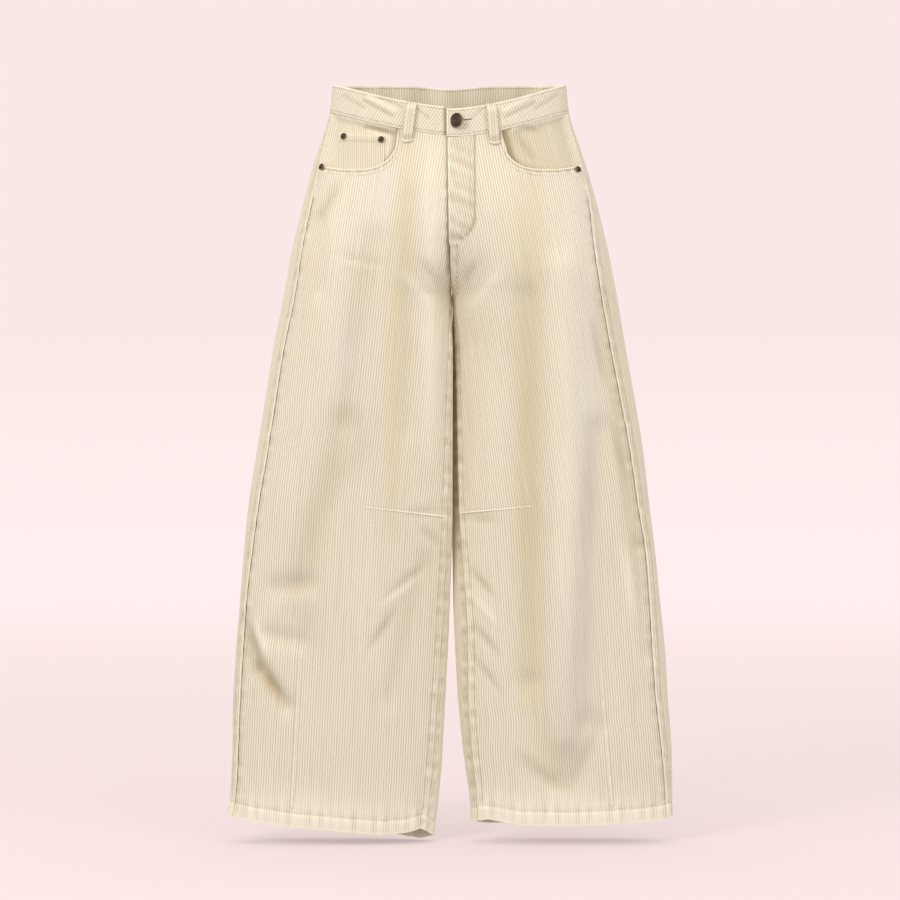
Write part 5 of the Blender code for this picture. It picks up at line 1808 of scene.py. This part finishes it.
@dataclass
class DartMaker:
    """The stitched darts: a ridge that stands on one side and melts into the cloth on the other."""

    panels: PanelMaker
    finish: bpy.types.Material
    steps: int = 90
    profile: tuple[tuple[float, float], ...] = (
        (-1.0, -0.5), (-0.7, 0.25), (-0.4, 0.7), (-0.1, 1.0), (0.2, 0.95), (0.42, 0.5), (0.6, -0.5),
    )

    def path(self, dart: Dart, count: int, aside: float = 0.0) -> tuple[Array, Array]:
        """Levels and turns along a dart, moved aside by a distance."""
        start, end = np.array(dart.start) * MM, np.array(dart.end) * MM
        way = end - start
        across = np.array([way[1], -way[0]]) / np.linalg.norm(way)
        spots = [
            self.panels.surface.place(dart.leg, *(start + way * share + across * aside))
            for share in np.linspace(0.0, 1.0, 12)
        ]
        fine, coarse = np.linspace(0, 1, count), np.linspace(0, 1, 12)
        return tuple(np.interp(fine, coarse, [spot[k] for spot in spots]) for k in (0, 1))

    def build(self, dart: Dart) -> bpy.types.Object:
        """Makes one dart."""
        surface = self.panels.surface
        share = np.linspace(0.0, 1.0, self.steps)
        taper = 1.0 - 0.75 * share
        wobble = 0.12 * pucker(share * 180 * MM, 4.0)
        far = np.full(self.steps, 50 * MM)
        middle = self.path(dart, self.steps)
        outer, inner = [], []
        for place, height in self.profile:
            beside = self.path(dart, self.steps, place * dart.width * MM / 2)
            level, turn = (own + (other - own) * taper for own, other in zip(middle, beside))
            flat = self.panels.relief(dart.leg, FRONT, level, turn, far, far)[0]
            tall = (height * (1.0 - 0.6 * share) + wobble * (height > 0)) * 1.15 * MM
            outer.append(surface.at(dart.leg, level, turn, flat + tall).points)
            inner.append(surface.at(dart.leg, level, turn, flat - 0.75 * MM).points)
        heights = np.array([height for _, height in self.profile])[:, None]
        # A painted highlight on the ridge and painted shade beside it, fading towards the point.
        light = np.where(heights > 0.6, 0.75, -1.1) * (1.0 - 0.5 * share)
        sheet = Sheet()
        slab(sheet, np.array(outer), np.array(inner), {
            "u": share * 9.0, "v": heights, "warmth": 0.0, "lightness": light, "pile": 0.35,
        })
        return sheet.build(dart.name + "_cloth", self.finish)


def spun(profile: Sequence[tuple[float, float]], steps: int, weld: float) -> bmesh.types.BMesh:
    """Turns a profile of radius and height round Z, and welds points nearer than a distance."""
    made = bmesh.new()
    points = [made.verts.new((radius, 0.0, height)) for radius, height in profile]
    edges = [made.edges.new(pair) for pair in zip(points, points[1:])]
    bmesh.ops.spin(
        made, geom=points + edges, cent=(0, 0, 0), axis=(0, 0, 1), angle=2 * math.pi, steps=steps,
        use_merge=True,
    )
    bmesh.ops.remove_doubles(made, verts=made.verts, dist=weld)
    return made


def mesh_of(made: bmesh.types.BMesh, name: str) -> bpy.types.Mesh:
    """Turns what was made into a mesh."""
    mesh = bpy.data.meshes.new(name)
    made.to_mesh(mesh)
    made.free()
    return mesh


@dataclass(frozen=True)
class Lathe:
    """A round metal piece from its profile of (radius, height), in mm."""

    profile: tuple[tuple[float, float], ...]
    sides: int = 48

    def build(
        self, name: str, centre: Array, axis: Array, material: bpy.types.Material,
    ) -> bpy.types.Object:
        """Makes the piece, set on the cloth.

        Args:
            name: Its name.
            centre: The middle of its base.
            axis: The way it faces.
            material: Its finish.

        Returns:
            The piece.
        """
        made = spun([(r * MM, h * MM) for r, h in self.profile], self.sides, 0.004 * MM)
        turn = Vector((0, 0, 1)).rotation_difference(Vector(axis)).to_matrix().to_4x4()
        bmesh.ops.transform(made, matrix=Matrix.Translation(Vector(centre)) @ turn, verts=made.verts)
        bmesh.ops.recalc_face_normals(made, faces=made.faces)
        return finished(name, mesh_of(made, name), material, sharp=42)


RIVET = Lathe((
    (0.0, -0.9), (4.3, -0.9), (4.5, -0.2), (4.5, 0.3), (4.35, 0.65), (3.9, 0.9), (3.4, 0.95),
    (2.95, 0.8), (2.7, 0.62), (2.45, 0.66), (2.2, 0.95), (1.9, 1.3), (1.4, 1.55), (0.8, 1.68),
    (0.0, 1.72),
))
BUTTON = Lathe((
    (0.0, 0.0), (2.94, 0.0), (2.94, 3.6), (8.93, 3.8), (9.97, 4.05), (10.4, 4.5), (10.4, 5.0),
    (10.08, 5.6), (9.45, 5.95), (8.72, 5.85), (8.19, 5.4), (7.67, 5.1), (7.04, 5.2), (6.62, 5.55),
    (6.09, 5.6), (5.57, 5.35), (5.15, 5.15), (4.41, 5.18), (3.78, 5.45), (3.26, 5.48), (2.73, 5.25),
    (1.78, 5.2), (0.0, 5.25),
), sides=64)


@dataclass
class HardwareMaker:
    """The button and the rivets, each where its node is."""

    panels: PanelMaker
    finish: bpy.types.Material
    button_level: float = -17.5 * MM
    button_x: float = 11.6 * MM
    button_out: float = 2.6 * MM
    button_tilt: float = math.radians(36)

    def build(self) -> list[tuple[bpy.types.Object, str]]:
        """Makes every metal piece, with the node that it stands for."""
        surface = self.panels.surface
        made = []
        for rivet in RIVETS:
            level, turn = surface.place(rivet.leg, rivet.x * MM, rivet.z * MM)
            spot = surface.at(rivet.leg, level, turn, rivet.out * MM)
            piece = RIVET.build(rivet.node + "_metal", spot.points, spot.normals, self.finish)
            made.append((piece, rivet.node))
        span = np.linspace(0.0, 0.3, 200)
        reach = surface.at(L, self.button_level, span).points[:, 0]
        turn = float(np.interp(self.button_x, reach, span))
        spot = surface.at(L, self.button_level, turn, BAND_PROUD + self.button_out)
        aside = np.cross(spot.normals, (0.0, 0.0, 1.0))
        aside /= -np.linalg.norm(aside) * np.sign(aside[0])
        axis = spot.normals * math.cos(self.button_tilt) + aside * math.sin(self.button_tilt)
        made.append((BUTTON.build("button_metal", spot.points, axis, self.finish), "button"))
        return made


@dataclass
class Stitcher:
    """Sews along paths: each stitch is a small bead of thread, laid along its path."""

    panels: PanelMaker
    waist: WaistMaker
    pockets: PocketMaker
    darts: DartMaker
    pitch: float = 3.3 * MM
    length: float = 2.5 * MM
    width: float = 0.62 * MM
    height: float = 0.5 * MM
    rise: float = 0.1 * MM
    paths: list[Spots] = field(default_factory=list)

    def on_panel(
        self, leg: Leg, face: Face, level: Array, turn: Array, edge: float, inner: bool = False,
    ) -> None:
        """Adds a row on a leg panel."""
        edges = [np.full(len(level), 60 * MM)] * 2
        edges[int(inner)] = np.full(len(level), edge)
        flat = self.panels.relief(leg, face, level, turn, *edges)[0]
        self.paths.append(self.panels.surface.at(leg, level, turn, flat + self.rise))

    def beside_seam(
        self, leg: Leg, face: Face, top: float, low: float, distance: float, inner: bool = False,
    ) -> None:
        """Adds a row beside a panel's outer or inner seam.

        Args:
            leg: The side.
            face: The panel it is on.
            top: The level where it starts.
            low: The level where it ends.
            distance: How far from the seam.
            inner: Whether it is the inner seam.
        """
        surface = self.panels.surface
        level = np.linspace(top, low, 260)
        turn = np.empty_like(level)
        for i, own in enumerate(level):
            seam = float(surface.seam_turn(leg, own, inner)) + (inner and face is BACK)
            arc = float(surface.arc_of(leg, own, seam))
            into_panel = -1.0 if (face is FRONT) != inner else 1.0
            turn[i] = surface.turn_of(leg, own, arc + into_panel * distance)
        self.on_panel(leg, face, level, turn, distance, inner)

    def scoop(self, leg: Leg, distance: float) -> None:
        """Adds a row round a pocket mouth, outside its edge."""
        x, z = self.panels.scoop_path()
        way = np.column_stack([np.gradient(x), np.gradient(z)])
        way /= np.linalg.norm(way, axis=1)[:, None]
        x, z = x + way[:, 1] * distance, z - way[:, 0] * distance
        keep = (x < 170 * MM) & (z < -52 * MM)
        spots = np.array([self.panels.surface.place(leg, a, b) for a, b in zip(x[keep], z[keep])])
        spots = spots[spots[:, 0] < -BAND_HEIGHT - 2 * MM]
        self.on_panel(leg, FRONT, spots[:, 0], spots[:, 1], 30 * MM)

    def band(self) -> None:
        """Adds the rows along the band's edges, and the ones on its end."""
        first, last = self.waist.ends()
        s = np.linspace(first + self.waist.under + 1 * MM, last - 2.6 * MM, 400)
        for level in (-3.0 * MM, -BAND_HEIGHT + 3.0 * MM):
            points, normals = [], []
            for leg, turn, sink in self.waist.spot(s):
                spot = self.panels.surface.at(leg, level, turn, BAND_PROUD - sink - 0.35 * MM)
                points.append(spot.points)
                normals.append(spot.normals)
            self.paths.append(Spots(np.array(points), np.array(normals)))
        turn = float(self.panels.surface.turn_of(L, -BAND_HEIGHT / 2, -self.waist.over + 2.6 * MM))
        level = np.linspace(-3.0, -36.0, 30) * MM
        self.paths.append(self.panels.surface.at(L, level, turn, BAND_PROUD + self.waist.lift))

    def fly(self) -> None:
        """Adds the fly's curved double row, its bar and the rows of the crotch seam."""
        surface = self.panels.surface
        for inset in (1.2 * MM, 7.0 * MM):
            width = FLY_WIDTH - inset
            z = np.concatenate([np.linspace(-68, -186, 40) * MM, np.zeros(24)])
            x = np.full(len(z), width)
            angle = np.linspace(0.0, math.pi / 2, 25)[1:]
            depth = -FLY_BOTTOM_Z - 188 * MM - inset
            x[40:], z[40:] = width * np.cos(angle), -188 * MM - depth * np.sin(angle)
            keep = x > -1 * MM
            spots = np.array([surface.place(L, max(a, 0.4 * MM), b) for a, b in zip(x[keep], z[keep])])
            self.on_panel(L, FRONT, spots[:, 0], spots[:, 1], 40 * MM)
        for distance in (1.8 * MM, 7.0 * MM):
            level = np.linspace(FLY_BOTTOM_Z - 6 * MM, -286 * MM, 24)
            turn = np.array([surface.turn_of(L, own, distance) for own in level])
            self.on_panel(L, FRONT, level, turn, 40 * MM)

    def hem(self, leg: Leg) -> None:
        """Adds the row round a hem."""
        for face in Face:
            level = HEM_TOP_LEVEL + 0.2 * MM
            low, high = self.panels.edges(leg, face, np.array([level]))
            turn = np.linspace(low[0], high[0], 160)
            self.on_panel(leg, face, np.full(160, level), turn, 30 * MM)

    def coin(self) -> None:
        """Adds the coin pocket's rows."""
        surface, base = self.panels.surface, -WALL - LAYER_GAP
        ends = (((0.02, 0.045), (0.98, 0.045)), ((0.02, 0.15), (0.98, 0.15)),
                ((0.965, 0.06), (0.965, 0.95)), ((0.88, 0.17), (0.88, 0.95)),
                ((0.035, 0.06), (0.035, 0.95)))
        for (u0, v0), (u1, v1) in ends:
            share = np.linspace(0.0, 1.0, 14)
            x, z = self.pockets.coin_place(u0 + (u1 - u0) * share, v0 + (v1 - v0) * share)
            spots = np.array([surface.place(R, a, b) for a, b in zip(x, z)])
            self.paths.append(surface.at(R, spots[:, 0], spots[:, 1], base + self.rise))

    def everything(self) -> None:
        """Adds every row of stitches."""
        for leg in Leg:
            for distance in (3.2 * MM, 7.6 * MM):
                self.scoop(leg, distance)
            for distance in (1.9 * MM, 6.6 * MM):
                self.beside_seam(leg, BACK, -44 * MM, HEM_TOP_LEVEL, distance)
                self.beside_seam(leg, FRONT, -300 * MM, HEM_TOP_LEVEL, distance, inner=True)
            self.hem(leg)
        for distance in (1.8 * MM, 8.0 * MM):
            level = np.linspace(-42 * MM, -286 * MM, 100)
            turn = np.array([
                self.panels.surface.turn_of(
                    L, own, float(self.panels.surface.arc_of(L, own, 1.0)) - distance)
                for own in level
            ])
            self.on_panel(L, BACK, level, turn, 40 * MM)
        for dart in DARTS:
            for aside in (-4.2, 3.2) if dart.name.startswith("hem") else (-4.4,):
                level, turn = self.darts.path(dart, 40, aside * MM)
                self.on_panel(dart.leg, FRONT, level, turn, 40 * MM)
        self.band()
        self.fly()
        self.coin()

    def spaced(self, path: Spots) -> tuple[Array, Array, Array]:
        """Places stitches evenly along a path.

        Args:
            path: The row.

        Returns:
            The stitches' middles, directions and outward directions.
        """
        steps = np.linalg.norm(np.diff(path.points, axis=0), axis=1)
        arc = np.concatenate([[0.0], np.cumsum(steps)])
        count = max(int(arc[-1] / self.pitch), 1)
        where = (np.arange(count) + 0.5) * arc[-1] / count

        def read(values: Array, at: Array) -> Array:
            """Values at lengths along the path."""
            return np.column_stack([np.interp(at, arc, values[:, k]) for k in range(3)])

        along = read(path.points, where + 0.4 * self.pitch) - read(path.points, where - 0.4 * self.pitch)
        return read(path.points, where), along, read(path.normals, where)

    def build(self, material: bpy.types.Material) -> bpy.types.Object:
        """Lays a stitch at every place, with geometry nodes, and makes it one plain mesh."""
        self.everything()
        rows = [self.spaced(path) for path in self.paths]
        points, along, out = (np.concatenate([row[k] for row in rows]) for k in range(3))
        mesh = bpy.data.meshes.new("stitch_places")
        mesh.from_pydata(points.tolist(), [], [])
        for name, values in (("along", along), ("out", out)):
            layer = mesh.attributes.new(name, "FLOAT_VECTOR", "POINT")
            layer.data.foreach_set("vector", values.astype(np.float32).ravel())
        holder = bpy.data.objects.new("stitch_places", mesh)
        bpy.context.scene.collection.objects.link(holder)
        modifier = holder.modifiers.new("stitches", "NODES")
        modifier.node_group = self.tree()
        sizes = {"Length": self.length, "Width": self.width, "Height": self.height,
                 "Thread": material}
        for item in modifier.node_group.interface.items_tree:
            if item.item_type == "SOCKET" and item.in_out == "INPUT" and item.name in sizes:
                modifier[item.identifier] = sizes[item.name]
        evaluated = holder.evaluated_get(bpy.context.evaluated_depsgraph_get())
        plain = bpy.data.meshes.new_from_object(evaluated)
        bpy.data.objects.remove(holder, do_unlink=True)
        return finished("topstitching", plain, material)

    @staticmethod
    def tree() -> bpy.types.NodeTree:
        """The nodes that lay one bead of thread at each point."""
        tree = bpy.data.node_groups.new("lay_stitches", "GeometryNodeTree")
        face = tree.interface
        face.new_socket("Geometry", in_out="INPUT", socket_type="NodeSocketGeometry")
        for name in ("Length", "Width", "Height"):
            face.new_socket(name, in_out="INPUT", socket_type="NodeSocketFloat")
        face.new_socket("Thread", in_out="INPUT", socket_type="NodeSocketMaterial")
        face.new_socket("Geometry", in_out="OUTPUT", socket_type="NodeSocketGeometry")
        n = Nodes(tree)
        start = n.add("NodeGroupInput").outputs
        size = n.add("ShaderNodeCombineXYZ", {0: start["Length"], 1: start["Width"], 2: start["Height"]})
        bead = n.add("GeometryNodeMeshIcoSphere", {"Radius": 0.5, "Subdivisions": 1})
        along, out = (
            n.add("GeometryNodeInputNamedAttribute", {"Name": name}, data_type="FLOAT_VECTOR")
            for name in ("along", "out")
        )
        turn = n.add("FunctionNodeAxesToRotation", {
            0: along.outputs["Attribute"], 1: out.outputs["Attribute"],
        }, primary_axis="X", secondary_axis="Z")
        lay = n.add("GeometryNodeInstanceOnPoints", {
            "Points": start["Geometry"], "Instance": bead.outputs["Mesh"],
            "Rotation": turn.outputs[0], "Scale": size.outputs[0],
        })
        real = n.add("GeometryNodeRealizeInstances", {0: lay.outputs[0]})
        dress = n.add("GeometryNodeSetMaterial", {
            "Geometry": real.outputs[0], "Material": start["Thread"],
        })
        n.add("NodeGroupOutput", {0: dress.outputs[0]})
        return tree


BELT_LOOPS = (
    ("belt_loop_front_right", R, FRONT, 51.6, 58.9),
    ("belt_loop_front_left", L, FRONT, 56.1, 60.6),
    ("belt_loop_back_right", R, BACK, 112, 116),
    ("belt_loop_back_left", L, BACK, 112, 116),
    ("belt_loop_centre_back", L, BACK, 0, 0),
)
CLOTH_SLOTS = {
    "front": "corduroy", "back": "corduroy", "pocket": "pocket_corduroy", "coin": "pocket_corduroy",
}


@dataclass(frozen=True)
class Cut:
    """What a cloth piece was cut to: its flat width, length and area, in metres."""

    width: float
    length: float
    area: float
    held: str = "hung"


def declare(piece: bpy.types.Object, node: str, goes_with: Sequence[bpy.types.Object] = ()) -> None:
    """Takes a cloth piece and what is sewn out of the same piece, and states nothing about its size.

    Args:
        piece: The cloth piece; not used.
        node: The node that it stands for, whose name begins with its cut's; not used.
        goes_with: What is sewn out of the same piece, such as its darts.
    """
    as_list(goes_with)


def carry(piece: bpy.types.Object, node: str, slot: str) -> None:
    """Makes a piece stand for a node and move with the trousers."""
    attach(piece, "root")
    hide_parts(node)
    area = sum(p.area for p in piece.data.polygons)
    LOG.info("%s: %d faces, %.5f m2", piece.name, len(piece.data.polygons), area)


@dataclass
class Studio:
    """A pale paper sweep, soft lights and the camera."""

    floor_z: float = -1.051
    camera_y: float = -4.0
    camera_z: float = -0.507
    width: float = 1.251
    paper_radius: float = 6.5
    room_light: tuple[float, float] = (0.3, 1.05)

    def build(self) -> None:
        """Makes the paper, the lights and the camera."""
        self.paper()
        self.lights()
        self.camera()

    def paper(self) -> None:
        """A round floor that curves up into a wall, far enough out for a camera on every side."""
        flat = self.paper_radius - 1.0
        profile = [(0.0, self.floor_z), (flat, self.floor_z)]
        for step in range(1, 13):
            angle = math.pi / 2 * step / 12
            profile.append((flat + math.sin(angle), self.floor_z + (1.0 - math.cos(angle))))
        profile.append((self.paper_radius, self.floor_z + 8.0))
        made = spun(profile, 96, MM)
        bmesh.ops.recalc_face_normals(made, faces=made.faces)
        bmesh.ops.reverse_faces(made, faces=made.faces)
        paper = finished("paper", mesh_of(made, "paper"), Backdrop().build())
        paper.visible_diffuse = False
        paper.visible_glossy = False

    def lights(self) -> None:
        """A broad key light, a fill, a top light and the room's light."""
        for row in LAMPS:
            lamp = bpy.data.lights.new(row.name, "AREA")
            lamp.shape, lamp.size, lamp.energy, lamp.color = "SQUARE", row.size, row.power, row.colour
            light = bpy.data.objects.new(row.name, lamp)
            light.location = row.place
            aim = Vector((0.0, 0.0, -0.55)) - Vector(row.place)
            light.rotation_euler = aim.to_track_quat("-Z", "Y").to_euler()
            light.visible_camera = False
            bpy.context.scene.collection.objects.link(light)
        world = bpy.data.worlds.new("studio")
        bpy.context.scene.world = world
        world.use_nodes = True
        n = Nodes(world.node_tree)
        way = n.add("ShaderNodeTexCoord").outputs["Generated"]
        height = n.add("ShaderNodeSeparateXYZ", {0: way}).outputs[2]
        shine = n.tree.nodes["Background"].inputs
        n.put(shine[0], (1.0, 0.98, 0.97, 1.0))
        n.put(shine[1], n.ramp(height, -1.0, 1.0, *self.room_light))

    def camera(self) -> None:
        """The camera, level with the middle of the trousers."""
        data = bpy.data.cameras.new("camera")
        data.lens = 36.0 * -self.camera_y / self.width
        data.sensor_width = 36.0
        data.clip_end = 50.0
        camera = bpy.data.objects.new("camera", data)
        camera.location = (0.0, self.camera_y, self.camera_z)
        camera.rotation_euler = (math.pi / 2, 0.0, 0.0)
        bpy.context.scene.collection.objects.link(camera)
        bpy.context.scene.camera = camera
        bpy.context.scene.view_settings.view_transform = "Standard"


def main() -> None:
    """Builds the trousers and the studio."""
    logging.basicConfig(level=logging.INFO, format="%(message)s")
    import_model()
    surface = ClothSurface()
    cloth = Corduroy("corduroy_cloth").build()
    panels = PanelMaker(surface, cloth)
    pockets = PocketMaker(panels, Corduroy("pocket_cloth").build())
    waist = WaistMaker(panels, Corduroy("band_cloth").build())
    darts = DartMaker(panels, cloth)
    cloths: dict[str, bpy.types.Object] = {}
    for leg in Leg:
        for face in Face:
            cloths[f"{face.value}_{leg.value}"] = panels.build(leg, face)
        cloths[f"pocket_facing_{leg.value}"] = pockets.facing(leg)
    cloths["coin_pocket"] = pockets.coin()
    cloths["waistband"] = waist.band()
    for name, leg, face, top_x, low_x in BELT_LOOPS:
        cloths[name] = waist.loop(name, leg, face, top_x, low_x)
    for node, piece in cloths.items():
        carry(piece, node, CLOTH_SLOTS.get(node.split("_")[0], "band_corduroy"))
    sewn_darts: dict[str, list[bpy.types.Object]] = {"front_right": [], "front_left": []}
    for dart in DARTS:
        piece = darts.build(dart)
        carry(piece, dart.name, "corduroy")
        sewn_darts[f"front_{dart.leg.value}"].append(piece)
    for node, piece in cloths.items():
        declare(piece, node, sewn_darts.get(node, ()))
    for piece, node in HardwareMaker(panels, AntiqueBrass().build()).build():
        carry(piece, node, "antique_brass")
    stitches = Stitcher(panels, waist, pockets, darts).build(Thread("cotton_thread").build())
    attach(stitches, "root")
    LOG.info("topstitching: %d faces", len(stitches.data.polygons))
    Studio().build()


if __name__ == "__main__":
    main()
